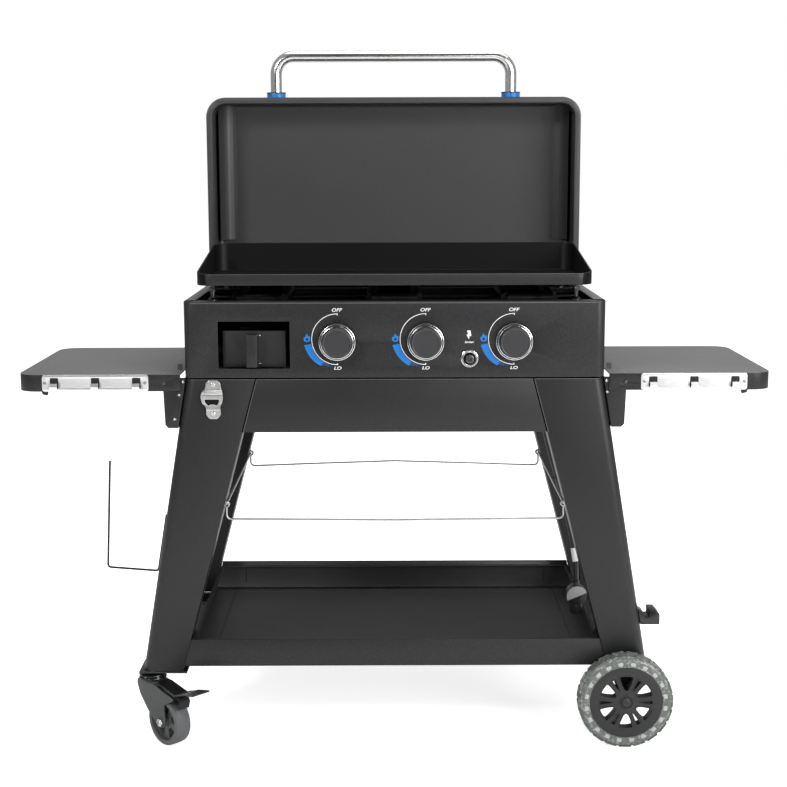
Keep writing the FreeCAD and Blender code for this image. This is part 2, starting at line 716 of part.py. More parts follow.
# Lid: a hollow shell drawn open, with an outward hem round its rim, hinged on pins at the sides
heel = pivot_z - S.lid_heel
lid_outline = [(-half_lid, heel), (half_lid, heel), (half_lid, lid_top), (-half_lid, lid_top)]
lid = plate("lid_body", "XZ", rim_y, S.lid_depth, lid_outline)
middle_y = rim_y + S.lid_depth / 2
add_fillet(lid, S.lid_corner, [(half_lid * s, middle_y, lid_top) for s in (-1, 1)])
lid_middle = (heel + lid_top) / 2
add_fillet(lid, S.lid_bend, [(half_lid, lid_back, lid_middle)])
add_thickness(lid, S.sheet, (0, rim_y, lid_middle))
hem_low = pivot_z
hem_x = half_lid + S.lid_hem
hem_top = lid_top + S.lid_hem
arc_x = half_lid - S.lid_corner
arc_z = lid_top - S.lid_corner
arc_radius = S.lid_corner - S.sheet / 2
turn_points = []
for degrees in (0, 30, 60, 90):
    angle = math.radians(degrees)
    turn_points.append((arc_x + arc_radius * math.cos(angle), arc_z + arc_radius * math.sin(angle)))
hem = [(hem_x, hem_low), (half_lid - S.sheet / 2, hem_low)] + turn_points
hem += [(-x, z) for x, z in reversed(turn_points)]
hem += [(-(half_lid - S.sheet / 2), hem_low), (-hem_x, hem_low), (-hem_x, hem_top), (hem_x, hem_top)]
add_pad(lid, "XZ", rim_y, S.sheet, hem)
add_fillet(lid, S.lid_corner + S.lid_hem, [(hem_x * s, rim_y + S.sheet / 2, hem_top) for s in (-1, 1)])
mouth_half = half_lid - S.sheet
vent_y = pivot_y + S.vent_gap
vent = [
    (-mouth_half, rim_y - S.sheet), (mouth_half, rim_y - S.sheet), (mouth_half, vent_y), (-mouth_half, vent_y),
]
add_pocket(lid, "XY", heel - S.sheet, S.sheet * 3, vent)
corner_cut = [
    (rim_y - S.sheet, pivot_z - S.lid_notch), (rim_y - S.sheet, heel - S.sheet),
    (pivot_y - S.lid_heel / 2, heel - S.sheet), (pivot_y - S.lid_heel / 2, heel),
    (rim_y, pivot_z - S.lid_notch),
]
add_pocket(lid, "YZ", -(hem_x + S.sheet), (hem_x + S.sheet) * 2, corner_cut)
add_pocket(lid, "YZ", -(hem_x + S.sheet), (hem_x + S.sheet) * 2,
           ("circle", pivot_y, pivot_z, S.pin_radius + S.pin_play))
keep("lid_shell", lid)

# Handle on two spacers on top of the open lid
handle_y = rim_y + S.handle_set_back
spacer_low = lid_top + S.clearance
spacer_top = spacer_low + S.spacer_height
spacers = [
    rod("handle_spacer", S.spacer_radius, S.handle_across * s, handle_y, spacer_low, "Z", S.spacer_height)
    for s in (-1, 1)
]
keep("handle_spacers", group("handle_spacers_group", spacers))
post_low = spacer_top + S.clearance
handle_z = lid_top + S.handle_rise
handle_path = [
    (-S.handle_across, handle_y, post_low), (-S.handle_across, handle_y, handle_z),
    (S.handle_across, handle_y, handle_z), (S.handle_across, handle_y, post_low),
]
handle_bore = S.handle_radius - S.handle_wall
handle, _ = tube("lid_handle_tube", handle_path, S.handle_radius, S.handle_bend, handle_bore)
keep("lid_handle", handle)

# Hinge brackets under the box's side flanges, each with its pin through the lid's side
hinge_foot = box_top - S.sheet - S.clearance
hinges = []
for side in (-1, 1):
    x_in = half_lid - S.sheet - S.clearance - S.hinge_sheet
    x0, x1 = span(side, x_in, x_in + S.hinge_sheet)
    y0, y1 = pivot_y - S.hinge_width / 2, pivot_y + S.hinge_width / 2
    upright = block("hinge_upright", x0, x1, y0, y1, hinge_foot - S.sheet, pivot_z + S.pin_radius * 2)
    x0, x1 = span(side, x_in, inner_half - S.clearance)
    foot = block("hinge_foot", x0, x1, y0, y1, hinge_foot - S.sheet, hinge_foot)
    x0, x1 = span(side, x_in, half_lid + S.clearance + S.sheet)
    pin = rod("hinge_pin", S.pin_radius, x0, pivot_y, pivot_z, "X", x1 - x0)
    x0, x1 = span(side, half_lid + S.clearance, half_lid + S.clearance + S.sheet)
    head = rod("hinge_head", S.pin_radius * 1.8, x0, pivot_y, pivot_z, "X", x1 - x0)
    hinges.append(fuse("hinge_bracket", upright, foot, pin, head))
keep("lid_hinge_brackets", group("hinges_group", hinges))

# Gas manifold with its valves, stems and the fitting that the hose hangs from
valve_front = panel_front + S.sheet + S.clearance
manifold_y = valve_front + S.valve_width + S.manifold_radius
hose_top = S.box_bottom - S.manifold_radius * 5
manifold_start = S.knob_first - S.valve_width
manifold_path = [
    (manifold_start, manifold_y, knob_z), (hose_x, manifold_y, knob_z),
    (hose_x, hose_y, knob_z), (hose_x, hose_y, hose_top),
]
pipe, _ = tube("manifold_pipe", manifold_path, S.manifold_radius, S.manifold_radius * 2)
gas_parts = [pipe]
stem_tip = panel_front - S.knob_gap - S.knob_length + S.knob_skirt
for x in knob_places:
    half = S.valve_width / 2
    valve = block(
        "gas_valve", x - half, x + half, valve_front, manifold_y, knob_z - half, knob_z + half,
    )
    stem = rod("valve_stem", S.stem_radius, x, stem_tip, knob_z, "Y", manifold_y - stem_tip)
    gas_parts += [valve, stem]
keep("gas_manifold", fuse("gas_manifold_fuse", *gas_parts))


# Knobs turn on the stems
def knob(number, x):
    bore = S.stem_radius + S.stem_play
    tip = S.knob_length - S.knob_skirt + S.clearance * 2
    outline = [
        (bore, 0), (S.knob_radius, 0), (S.knob_radius, -(S.knob_skirt - 2)), (S.knob_radius - 2, -S.knob_skirt),
        (S.cap_radius, -S.knob_skirt), (S.cap_radius - 1, -(S.knob_length - 3)),
        (S.cap_radius - 4, -S.knob_length), (0, -S.knob_length), (0, -tip), (bore, -tip),
    ]
    body = turned(f"knob_{number}_body", outline)
    place(body, x, panel_front - S.knob_gap, knob_z)
    notch_low = S.cap_radius - S.notch_depth
    half = S.notch_width / 2
    notch_high = S.knob_radius + 1
    notch = [(-half, notch_low), (half, notch_low), (half, notch_high), (-half, notch_high)]
    add_pocket(body, "XZ", -(S.knob_length + 1), S.knob_length - S.knob_skirt + 3, notch)
    keep(f"knob_{number}", body)


for number, x in enumerate(knob_places, start=1):
    knob(number, x)

# Igniter: a bezel and barrel in the panel, and the button that slides in it
bezel_bore = S.button_radius + S.clearance
barrel_end = S.button_travel + S.sheet + S.barrel_length
housing_outline = [
    (bezel_bore, -S.bezel_thick), (S.bezel_radius - 1, -S.bezel_thick), (S.bezel_radius, -(S.bezel_thick - 1)),
    (S.bezel_radius, 0), (S.igniter_hole - S.clearance, 0), (S.igniter_hole - S.clearance, barrel_end),
    (0, barrel_end), (0, barrel_end - S.sheet), (bezel_bore, barrel_end - S.sheet),
]
housing = turned("igniter_housing_body", housing_outline)
keep("igniter_housing", place(housing, S.igniter_across, panel_front, igniter_z))
button_front = -(S.bezel_thick + S.button_proud)
button_outline = [
    (0, button_front), (S.button_radius - 2, button_front), (S.button_radius, button_front + 2),
    (S.button_radius, barrel_end - S.sheet - S.button_travel - S.clearance),
    (0, barrel_end - S.sheet - S.button_travel - S.clearance),
]
button = turned("igniter_button_body", button_outline)
keep("igniter_button", place(button, S.igniter_across, panel_front, igniter_z))

# Grease tray with its strap handle
tray_y = panel_front + S.tray_set_back
pan_outline = [
    (pan_left, tray_y), (pan_right, tray_y),
    (pan_right, tray_back), (pan_left, tray_back),
]
tray = plate("grease_tray_body", "XY", tray_low, S.tray_tall, pan_outline)
wall = S.tray_wall
pan_hollow = [
    (pan_left + wall, tray_y + wall), (pan_right - wall, tray_y + wall),
    (pan_right - wall, tray_back - wall), (pan_left + wall, tray_back - wall),
]
add_pocket(tray, "XY", tray_low + wall, S.tray_tall, pan_hollow)
pull = tray_y - S.tray_handle_depth
grip_low = tray_low + S.tray_handle_lift
grip_high = grip_low + S.tray_handle_tall
strap = [
    (tray_y + wall / 2, grip_low), (pull, grip_low), (pull, grip_high),
    (tray_y + wall / 2, grip_high), (tray_y + wall / 2, grip_high - S.sheet * 2),
    (pull + S.sheet * 2, grip_high - S.sheet * 2), (pull + S.sheet * 2, grip_low + S.sheet * 2),
    (tray_y + wall / 2, grip_low + S.sheet * 2),
]
add_pad(tray, "YZ", pan_left + S.tray_handle_in, S.tray_handle_width, strap)
keep("grease_tray", tray)

# Side shelves: open pans that fold down round pins in their brackets
shelf_pivot_z = shelf_top - S.pivot_drop
bracket_low = shelf_bottom - S.bracket_tall
bracket_outer = shelf_pivot + S.bracket_ear
shelf_y_end = shelf_y + S.shelf_depth
ear_sheet = S.sheet * 1.5
brackets = []
for side_name, side in SIDES:
    x0, x1 = span(side, shelf_start, shelf_end)
    leaf_outline = [(x0, shelf_y), (x1, shelf_y), (x1, shelf_y_end), (x0, shelf_y_end)]
    leaf = plate(f"side_shelf_{side_name}_body", "XY", shelf_bottom, S.shelf_thick, leaf_outline)
    x0, x1 = span(side, shelf_start - S.sheet, shelf_end - S.sheet)
    well = [
        (x0, shelf_y + S.sheet), (x1, shelf_y + S.sheet),
        (x1, shelf_y_end - S.sheet), (x0, shelf_y_end - S.sheet),
    ]
    add_pocket(leaf, "XY", shelf_bottom, S.shelf_thick - S.sheet, well)
    inner_x = (shelf_end - S.sheet) * side
    inner_middle = (shelf_bottom + shelf_top - S.sheet) / 2
    corners = [(inner_x, y, inner_middle) for y in (shelf_y + S.sheet, shelf_y_end - S.sheet)]
    add_fillet(leaf, S.shelf_corner - S.sheet, corners)
    middle = shelf_bottom + S.shelf_thick / 2
    add_fillet(leaf, S.shelf_corner, [(shelf_end * side, y, middle) for y in (shelf_y, shelf_y_end)])
    pin_hole = ("circle", shelf_pivot * side, shelf_pivot_z, S.pin_radius + S.pin_play)
    add_pocket(leaf, "XZ", shelf_y - S.sheet, S.shelf_depth + S.sheet * 2, pin_hole)
    keep(f"side_shelf_{side_name}", leaf)

    ear_top = shelf_pivot_z + S.pin_radius * 2.5
    ear_side = bracket_outer - S.bracket_step
    ear_foot = ear_side - S.bracket_taper
    leg_ear = [
        (leg_outer(bracket_low) + S.clearance, bracket_low), (ear_foot - S.bracket_corner, bracket_low),
        (ear_foot, bracket_low + S.bracket_corner), (ear_side, shelf_bottom),
        (bracket_outer, shelf_bottom + S.bracket_step), (bracket_outer, shelf_pivot_z + S.pin_radius),
        (bracket_outer - S.pin_radius, ear_top), (leg_outer(ear_top) + S.clearance, ear_top),
    ]
    rail_face = leg_top_outer - S.sheet + S.clearance
    rail_low = leg_top - S.side_rail_height
    rail_ear = [
        (rail_face, rail_low), (rail_face + S.sheet * 5, rail_low), (bracket_outer, shelf_bottom - S.shelf_thick),
        (bracket_outer, shelf_pivot_z + S.pin_radius), (bracket_outer - S.pin_radius, ear_top),
        (rail_face, ear_top),
    ]
    front_ear_y = shelf_y + S.sheet + S.clearance * 2
    rear_ear_y = shelf_y_end - S.sheet - S.clearance * 2 - ear_sheet
    pin_run = S.sheet + S.clearance * 2 + ear_sheet
    for outline, y, pin_y in (
        (leg_ear, front_ear_y, shelf_y), (rail_ear, rear_ear_y, rear_ear_y),
    ):
        ear = plate("shelf_ear", "XZ", y, ear_sheet, [(x * side, z) for x, z in outline])
        pin = rod("shelf_pin", S.pin_radius, shelf_pivot * side, pin_y, shelf_pivot_z, "Y", pin_run)
        low, high = outline[0], outline[-1]
        flange_outline = [low, (low[0] + S.sheet, low[1]), (high[0] + S.sheet, high[1]), high]
        flange_outline = [(x * side, z) for x, z in flange_outline]
        fold_start = y if outline is leg_ear else y - S.panel_flange
        fold = plate("shelf_ear_fold", "XZ", fold_start, ear_sheet + S.panel_flange, flange_outline)
        brackets.append(fuse("shelf_bracket", ear, pin, fold))
keep("shelf_brackets", group("shelf_brackets_group", brackets))

# Hook strips on the shelves' front edges
strip_end = shelf_end - S.strip_in
strip_start = strip_end - S.strip_length
for side_name, side in SIDES:
    x0, x1 = span(side, strip_start, strip_end)
    strip_y = shelf_y - S.strip_thick
    pieces = [block("hook_plate", x0, x1, strip_y, shelf_y, shelf_bottom, shelf_top)]
    strip_middle = (strip_start + strip_end) / 2
    for i in (-1, 0, 1):
        x = (strip_middle + S.hook_pitch * i) * side
        tip = strip_y - S.hook_reach
        sides = (x - S.hook_width / 2, x + S.hook_width / 2)
        pieces.append(block("hook_arm", *sides, tip, strip_y, shelf_bottom, shelf_bottom + S.strip_thick))
        hook_top = shelf_bottom + S.hook_height
        pieces.append(block("hook_tip", *sides, tip, tip + S.strip_thick, shelf_bottom, hook_top))
    keep(f"hook_strip_{side_name}", fuse(f"hook_strip_{side_name}_fuse", *pieces))

# Big wheels on one axle under the right legs
axle_z = S.wheel_radius
wheel_x = leg_foot_outer - S.wheel_in
rim_radius = S.wheel_radius - S.tyre_thick
wheel_in = front - S.wheel_gap
wheel_out = wheel_in - S.wheel_width
cap = S.sheet * 2
axle_end = wheel_out - S.clearance
axle_parts = [rod("axle_rod", S.axle_radius, wheel_x, axle_end, axle_z, "Y", -axle_end * 2)]
bracket_front = front + S.sheet + S.clearance
for end_name, end in ENDS:
    out = wheel_out - S.clearance - cap
    start = out if end > 0 else -out - cap
    axle_parts.append(rod("axle_cap", S.axle_radius * 2, wheel_x, start, axle_z, "Y", cap))
    length = bracket_front - S.clearance - (wheel_in + S.clearance)
    start = wheel_in + S.clearance if end > 0 else -(wheel_in + S.clearance) - length
    axle_parts.append(rod("axle_collar", S.axle_radius * 1.6, wheel_x, start, axle_z, "Y", length))
keep("wheel_axle", fuse("wheel_axle_fuse", *axle_parts))

axle_brackets = []
for end_name, end in ENDS:
    bracket_high = leg_foot + S.shelf_lip
    half = S.leg_foot_width / 2 - S.sheet - S.leg_bend
    bracket_outline = [
        (wheel_x - S.axle_radius * 2, axle_z - S.bracket_drop),
        (wheel_x + S.axle_radius * 2, axle_z - S.bracket_drop),
        (wheel_x + half, leg_foot), (wheel_x + half, bracket_high),
        (wheel_x - half, bracket_high), (wheel_x - half, leg_foot),
    ]
    start = bracket_front if end > 0 else -bracket_front - ear_sheet
    bracket = plate(f"axle_bracket_{end_name}", "XZ", start, ear_sheet, bracket_outline)
    hole = ("circle", wheel_x, axle_z, S.axle_radius + S.axle_play)
    add_pocket(bracket, "XZ", start - S.sheet, ear_sheet + S.sheet * 2, hole)
    axle_brackets.append(bracket)
keep("axle_brackets", group("axle_brackets_group", axle_brackets))

for end_name, end in ENDS:
    half = S.wheel_width / 2
    bore = S.axle_radius + S.axle_play
    seat = rim_radius - S.clearance
    web = S.web_half
    wall_in, web_out = seat - S.rim_wall, seat - S.rim_wall * 1.7
    rim_outline = [
        (bore, -half), (S.hub_radius, -half), (S.hub_radius, -web), (web_out, -web), (wall_in, -half),
        (seat, -half), (seat, half), (wall_in, half), (web_out, web), (S.hub_radius, web),
        (S.hub_radius, half), (bore, half),
    ]
    wheel = turned(f"wheel_rim_{end_name}_body", rim_outline)
    window_in, window_out = S.hub_radius + S.rim_wall, web_out - S.rim_wall
    narrow, wide = window_in * 0.19, window_out * 0.23
    window = [(-narrow, window_in), (narrow, window_in), (wide, window_out), (-wide, window_out)]
    cutout = add_pocket(wheel, "XZ", -half, S.wheel_width, window)
    polar(wheel, cutout, 6, "Y_Axis")
    wheel_y = (wheel_in + wheel_out) / 2 * end
    place(wheel, wheel_x, wheel_y, axle_z)
    keep(f"wheel_rim_{end_name}", wheel)
    edge = S.tyre_edge
    tyre_outline = [
        (rim_radius, -half), (S.wheel_radius - edge, -half), (S.wheel_radius - edge * 0.3, -(half - edge * 0.3)),
        (S.wheel_radius, -(half - edge)), (S.wheel_radius, half - edge),
        (S.wheel_radius - edge * 0.3, half - edge * 0.3), (S.wheel_radius - edge, half), (rim_radius, half),
    ]
    tyre = turned(f"wheel_tyre_{end_name}_body", tyre_outline)
    keep(f"wheel_tyre_{end_name}", place(tyre, wheel_x, wheel_y, axle_z))

# Casters: fixed plate with a kingpin, swivelling fork, wheel and brake pedal
plate_low = leg_foot - S.clearance - S.caster_plate
caster_x = S.caster_in - leg_foot_outer
race_top = plate_low - S.clearance
race_low = race_top - S.race_height
plates = []
for end_name, end in ENDS:
    caster_y = (front + S.caster_set_in) * end
    half_x = S.leg_foot_width / 2 + S.plate_proud
    centre = -(leg_foot_outer + leg_foot_inner) / 2
    y0, y1 = (front, front + S.plate_depth) if end > 0 else (rear - S.plate_depth, rear)
    top = block(
        "caster_top", centre - half_x, centre + half_x, y0, y1, plate_low, plate_low + S.caster_plate,
    )
    pin_low = race_low - S.clearance
    pin_length = plate_low + S.sheet - pin_low
    kingpin = rod("caster_kingpin", S.pin_radius, caster_x, caster_y, pin_low, "Z", pin_length)
    nut = rod("caster_nut", S.pin_radius * 1.8, caster_x, caster_y, pin_low - S.sheet * 2, "Z", S.sheet * 2)
    plates.append(fuse("caster_plate_fuse", top, kingpin, nut))
keep("caster_plates", group("caster_plates_group", plates))

pedal_z = race_low - S.pin_radius * 3
pedal_x = S.pin_radius * 6
arm_in = S.caster_width / 2 + S.fork_gap
for end_name, end in ENDS:
    caster_y = (front + S.caster_set_in) * end
    yaw = S.caster_yaw * end
    race = rod("caster_race", S.race_radius, 0, 0, race_low, "Z", S.race_height)
    arm_outline = [
        (-S.race_radius * 0.6, race_low + S.sheet), (-S.race_radius * 0.6, race_low - S.race_height),
        (S.caster_trail - S.pin_radius * 3, S.caster_radius - S.pin_radius * 2),
        (S.caster_trail + S.pin_radius * 3, S.caster_radius - S.pin_radius * 2),
        (pedal_x + S.race_radius * 0.6, pedal_z - S.pin_radius), (pedal_x + S.race_radius * 0.5, race_low),
        (S.race_radius * 0.7, race_low + S.sheet),
    ]
    arms = [plate("caster_arm", "XZ", y, S.fork_sheet, arm_outline) for y in (-arm_in - S.fork_sheet, arm_in)]
    reach = (arm_in + S.fork_sheet + S.sheet)
    axle = rod("caster_axle", S.pin_radius, S.caster_trail, -reach, S.caster_radius, "Y", reach * 2)
    pivot = rod("pedal_pin", S.pin_radius * 0.75, pedal_x, -reach, pedal_z, "Y", reach * 2)
    body = fuse("caster_fork_fuse", race, *arms, axle, pivot)
    bore_length = S.race_height + S.sheet * 2
    hole = rod("caster_bore", S.pin_radius + S.pin_play, 0, 0, race_low - S.sheet, "Z", bore_length)
    fork = cut(f"caster_fork_{end_name}_cut", body, hole)
    place(fork, caster_x, caster_y, 0, yaw=yaw)
    keep(f"caster_fork_{end_name}", fork)

    half = S.caster_width / 2
    bore = S.pin_radius + S.pin_play
    edge = S.caster_edge
    caster_outline = [
        (bore, -half), (S.caster_radius - edge, -half), (S.caster_radius, -(half - edge)),
        (S.caster_radius, half - edge), (S.caster_radius - edge, half), (bore, half),
    ]
    wheel = turned(f"caster_wheel_{end_name}_body", caster_outline)
    place(wheel, S.caster_trail, 0, S.caster_radius)
    turned_wheel = group(f"caster_wheel_{end_name}_group", [wheel])
    place(turned_wheel, caster_x, caster_y, 0, yaw=yaw)
    keep(f"caster_wheel_{end_name}", turned_wheel)

    tread = S.sheet * 2
    pedal_outline = [
        (pedal_x - S.pin_radius * 1.5, pedal_z - S.pin_radius * 1.5),
        (pedal_x + S.pin_radius * 2, pedal_z - S.pin_radius * 1.5),
        (S.pedal_reach, race_low - tread), (S.pedal_reach, race_low),
        (pedal_x + S.race_radius * 1.2, race_low - tread / 2),
        (pedal_x - S.pin_radius * 1.5, pedal_z + S.pin_radius * 1.5),
    ]
    pedal = plate("caster_pedal_body", "XZ", -S.pedal_width / 2, S.pedal_width, pedal_outline)
    hole = ("circle", pedal_x, pedal_z, S.pin_radius * 0.75 + S.pin_play)
    add_pocket(pedal, "XZ", -S.pedal_width / 2 - S.sheet, S.pedal_width + S.sheet * 2, hole)
    turned_pedal = group(f"caster_pedal_{end_name}_group", [pedal])
    place(turned_pedal, caster_x, caster_y, 0, yaw=yaw)
    keep(f"caster_pedal_{end_name}", turned_pedal)

# Spreader wires between the legs
wire_x = leg_inner(S.wire_height) - S.wire_radius - S.clearance
wires = []
for end_name, end in ENDS:
    y = (front + S.wire_set_in) * end
    low = S.wire_height - S.wire_drop
    path = [(-wire_x, y, S.wire_height), (-wire_x, y, low), (wire_x, y, low), (wire_x, y, S.wire_height)]
    wire, _ = tube("spreader_bar", path, S.wire_radius, S.wire_radius * 4)
    wires.append(wire)
for side in (-1, 1):
    start = front + S.wire_set_in
    wires.append(rod("spreader_rod", S.wire_radius, wire_x * side, start, S.wire_height, "Y", -start * 2))
keep("spreader_wires", fuse("spreader_wires_fuse", *wires))

# Bottle opener on the left leg's face
opener_half = S.opener_width / 2
opener_x = S.opener_in - leg_top_outer
opener_high = leg_top - S.opener_drop
opener_low = opener_high - S.opener_tall
opener_y = front - S.sheet
opener_outline = [
    (opener_x - opener_half, opener_low), (opener_x + opener_half, opener_low),
    (opener_x + opener_half, opener_high), (opener_x - opener_half, opener_high),
]
opener = plate("bottle_opener_body", "XZ", opener_y, S.sheet, opener_outline)
lip = [
    (opener_y + S.sheet / 2, opener_low), (opener_y - S.opener_width * 0.35, opener_low),
    (opener_y - S.opener_width * 0.35, opener_low + S.sheet * 4),
    (opener_y - S.opener_width * 0.35 + S.sheet, opener_low + S.sheet * 4),
    (opener_y - S.opener_width * 0.35 + S.sheet, opener_low + S.sheet),
    (opener_y + S.sheet / 2, opener_low + S.sheet),
]
add_pad(opener, "YZ", opener_x - opener_half * 0.7, opener_half * 1.4, lip)
claw_low = opener_low + S.claw_rise
claw_high = claw_low + S.claw_tall
claw = [
    (opener_x - opener_half * 0.6, claw_low), (opener_x + opener_half * 0.6, claw_low),
    (opener_x + opener_half * 0.6, claw_high), (opener_x - opener_half * 0.6, claw_high),
]
add_pocket(opener, "XZ", opener_y - S.sheet, S.sheet * 3, claw)
keep("bottle_opener", opener)

# Paper towel holder: one bent wire on the left leg's side
holder_y = front + S.holder_set_in
holder_off = S.holder_wire + S.clearance * 1.5
holder_high = S.holder_low + S.holder_tall
holder_in = leg_outer(S.holder_low) + holder_off
holder_out = holder_in + S.holder_reach
post_low = S.holder_low + S.holder_rise
holder_path = [
    (-(leg_outer(holder_high) + holder_off), holder_y, holder_high), (-holder_in, holder_y, S.holder_low),
    (-holder_out, holder_y, post_low), (S.holder_lean - holder_out, holder_y, post_low + S.holder_post),
]
holder, _ = tube("towel_holder_wire", holder_path, S.holder_wire, S.holder_wire * 3)
keep("towel_holder", holder)

# Tank rest on the right leg's side
rest_y = front + S.panel_flange
rest_end = leg_outer(S.rest_low) + S.rest_reach
rest_high = S.rest_low + S.rest_tall
slot_out = rest_end - S.rest_slot_in
slot_in = slot_out - S.rest_slot
bar_top = S.rest_low + S.rest_bar
rest_outline = [
    (leg_outer(S.rest_low) + S.clearance, S.rest_low), (rest_end, S.rest_low),
    (rest_end, rest_high - S.rest_chamfer), (rest_end - S.rest_chamfer, rest_high), (slot_out, rest_high),
    (slot_out, bar_top), (slot_in, bar_top), (slot_in, rest_high - S.rest_slant),
    (leg_outer(rest_high) + S.clearance, rest_high),
]
keep("tank_hook", plate("tank_hook_body", "XZ", rest_y, S.rest_depth, rest_outline))

# Gas hose and regulator hang from the manifold's fitting
regulator_x, regulator_y = S.regulator_across, front + S.regulator_back
boss_top = S.regulator_height + S.regulator_radius + S.boss_height
boss_length = boss_top - S.regulator_height
hose_start = hose_top - S.clearance
hose_end = boss_top + S.clearance
hose_path = [
    (hose_x, hose_y, hose_start), (hose_x, hose_y, 652), (319, -26, 587), (337, -33, 522), (356, -43, 458),
    (370, -54, 398), (380, -65, 345), (regulator_x, regulator_y, 306), (regulator_x, regulator_y, hose_end),
]
hose, hose_length = tube("gas_hose_tube", hose_path, S.hose_radius, None)
keep("gas_hose", hose)
body_y = regulator_y - S.regulator_depth / 2
nut_low = S.regulator_height - S.nut_drop
regulator = fuse(
    "regulator_fuse",
    rod("regulator_body", S.regulator_radius, regulator_x, body_y, S.regulator_height, "Y", S.regulator_depth),
    rod("regulator_boss", S.hose_radius * 1.6, regulator_x, regulator_y, S.regulator_height, "Z", boss_length),
    rod("regulator_nut", S.hose_radius * 2.6, regulator_x, regulator_y, nut_low, "Z", S.nut_length),
)
keep("regulator", regulator)


def save_all():
    """Recomputes, checks every object and writes one file for each node."""
    doc.recompute()
    failed = [thing for thing in doc.Objects if "Invalid" in thing.State or "Error" in thing.State]
    for thing in failed:
        print(f"{thing.Name} ({thing.Label}) failed: {thing.getStatusString()}")
    if failed:
        raise RuntimeError(f"{len(failed)} objects failed")
    bad = []
    for node, thing in NODES.items():
        shape = thing.Shape
        if shape.isNull() or not shape.isValid() or not shape.Solids:
            bad.append(node)
            continue
        box = shape.BoundBox
        spans = [box.XMin, box.XMax, box.YMin, box.YMax, box.ZMin, box.ZMax]
        spans = " ".join(f"{value:.1f}" for value in spans)
        print(f"{node}: {len(shape.Solids)} solids, {shape.Volume / 1000:.1f} cm3, {spans}")
    if bad:
        raise RuntimeError(f"no valid solid: {bad}")
    os.makedirs("parts", exist_ok=True)
    for node, thing in NODES.items():
        thing.Shape.exportStep(os.path.join("parts", f"{node}.step"))


print(f"hose length {hose_length:.0f} mm")
save_all()
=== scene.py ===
# %% [markdown]
# An outdoor gas griddle station stands on a pale studio floor, its lid open. The steel parts come
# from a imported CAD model, so this file adds what CAD leaves out: finishes, softened edges, printed
# dials, turned knobs, stamped hooks, moulded wheels and the gas hose. Everything is in metres, with
# the floor at zero, +X to the right seen from the front and +Y towards the back.

# %% Load the frame
import json
import math

import bmesh
import bpy
from mathutils import Matrix, Vector


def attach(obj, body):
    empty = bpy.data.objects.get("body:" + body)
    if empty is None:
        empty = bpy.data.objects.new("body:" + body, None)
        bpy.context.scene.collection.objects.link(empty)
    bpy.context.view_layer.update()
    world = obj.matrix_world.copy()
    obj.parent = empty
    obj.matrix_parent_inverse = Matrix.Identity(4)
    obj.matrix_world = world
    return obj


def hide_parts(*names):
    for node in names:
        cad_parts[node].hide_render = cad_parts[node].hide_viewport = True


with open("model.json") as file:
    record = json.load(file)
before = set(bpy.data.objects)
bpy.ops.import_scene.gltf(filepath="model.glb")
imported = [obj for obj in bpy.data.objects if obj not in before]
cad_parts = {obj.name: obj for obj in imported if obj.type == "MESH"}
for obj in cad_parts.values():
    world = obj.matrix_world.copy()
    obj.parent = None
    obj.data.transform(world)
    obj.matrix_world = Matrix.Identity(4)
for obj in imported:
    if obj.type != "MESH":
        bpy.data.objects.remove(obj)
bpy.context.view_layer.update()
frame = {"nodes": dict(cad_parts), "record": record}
nodes = frame["nodes"]
MM = 0.001

# %% [markdown]
# The camera comes first, because every later choice is judged from it. It stands nearly three
# metres in front of the station, a little above the griddle, and looks slightly down, so the shelf
# tops show as thin wedges. A long lens keeps the upright lines nearly straight.

# %% Camera
CAMERA_AT = Vector((-0.0071, -3.0745, 1.1635))
FOCAL = 1457.06
IMAGE_SIDE = 787
SENSOR = 36
LOOK_DOWN = 0.16006
LOOK_SIDE = -0.00163
TILT = -0.0028


def put_in_scene(name, data):
    thing = bpy.data.objects.new(name, data)
    bpy.context.scene.collection.objects.link(thing)
    return thing


def make_camera():
    data = bpy.data.cameras.new("camera")
    data.sensor_width = SENSOR
    data.lens = SENSOR * FOCAL / IMAGE_SIDE
    data.clip_end = 60
    camera = put_in_scene("camera", data)
    turn = Matrix.Rotation(LOOK_SIDE, 4, "Z") @ Matrix.Rotation(math.radians(90) - LOOK_DOWN, 4, "X")
    camera.matrix_world = Matrix.Translation(CAMERA_AT) @ turn @ Matrix.Rotation(TILT, 4, "Z")
    bpy.context.scene.camera = camera
    print("lens:", round(data.lens, 1), "mm")


make_camera()

# %% [markdown]
# The sky, the floor and every finish are small trees of shader nodes. Two helpers build them: one
# feeds a node's inputs, each from another node's output or with a plain value, and one adds a node,
# feeds it and hands back the output that the next node needs. Sums and noise are needed so often
# that each has a helper of its own.

# %% Helpers for node trees
def feed(tree, node, inputs):
    """Wires each input to an output socket, or sets it to a number or a colour."""
    for key, value in inputs.items():
        if isinstance(value, bpy.types.NodeSocket):
            tree.links.new(value, node.inputs[key])
        else:
            node.inputs[key].default_value = (*value, 1) if isinstance(value, tuple) else value


def add_node(tree, kind, inputs=None, out=0, **settings):
    node = tree.nodes.new("ShaderNode" + kind)
    for key, value in settings.items():
        setattr(node, key, value)
    feed(tree, node, inputs or {})
    return node.outputs[out]


def calculate(tree, operation, first, second):
    return add_node(tree, "Math", {0: first, 1: second}, operation=operation)


def noise(tree, vector=None, **inputs):
    """Cloudy noise, over the piece's own space unless a vector is given."""
    place = vector or add_node(tree, "TexCoord", out="Object")
    return add_node(tree, "TexNoise", {"Vector": place, **inputs})


# %% [markdown]
# The studio is a white floor that runs far back, a bright sky that is dim only behind the camera,
# and a few soft boxes. Black steel shows its shape only through what it mirrors: flat fronts mirror
# the dim part and stay dark, while rounded edges mirror the bright sides. The boxes above and on
# the right are large, and the left one is small, because it draws the soft shadows.

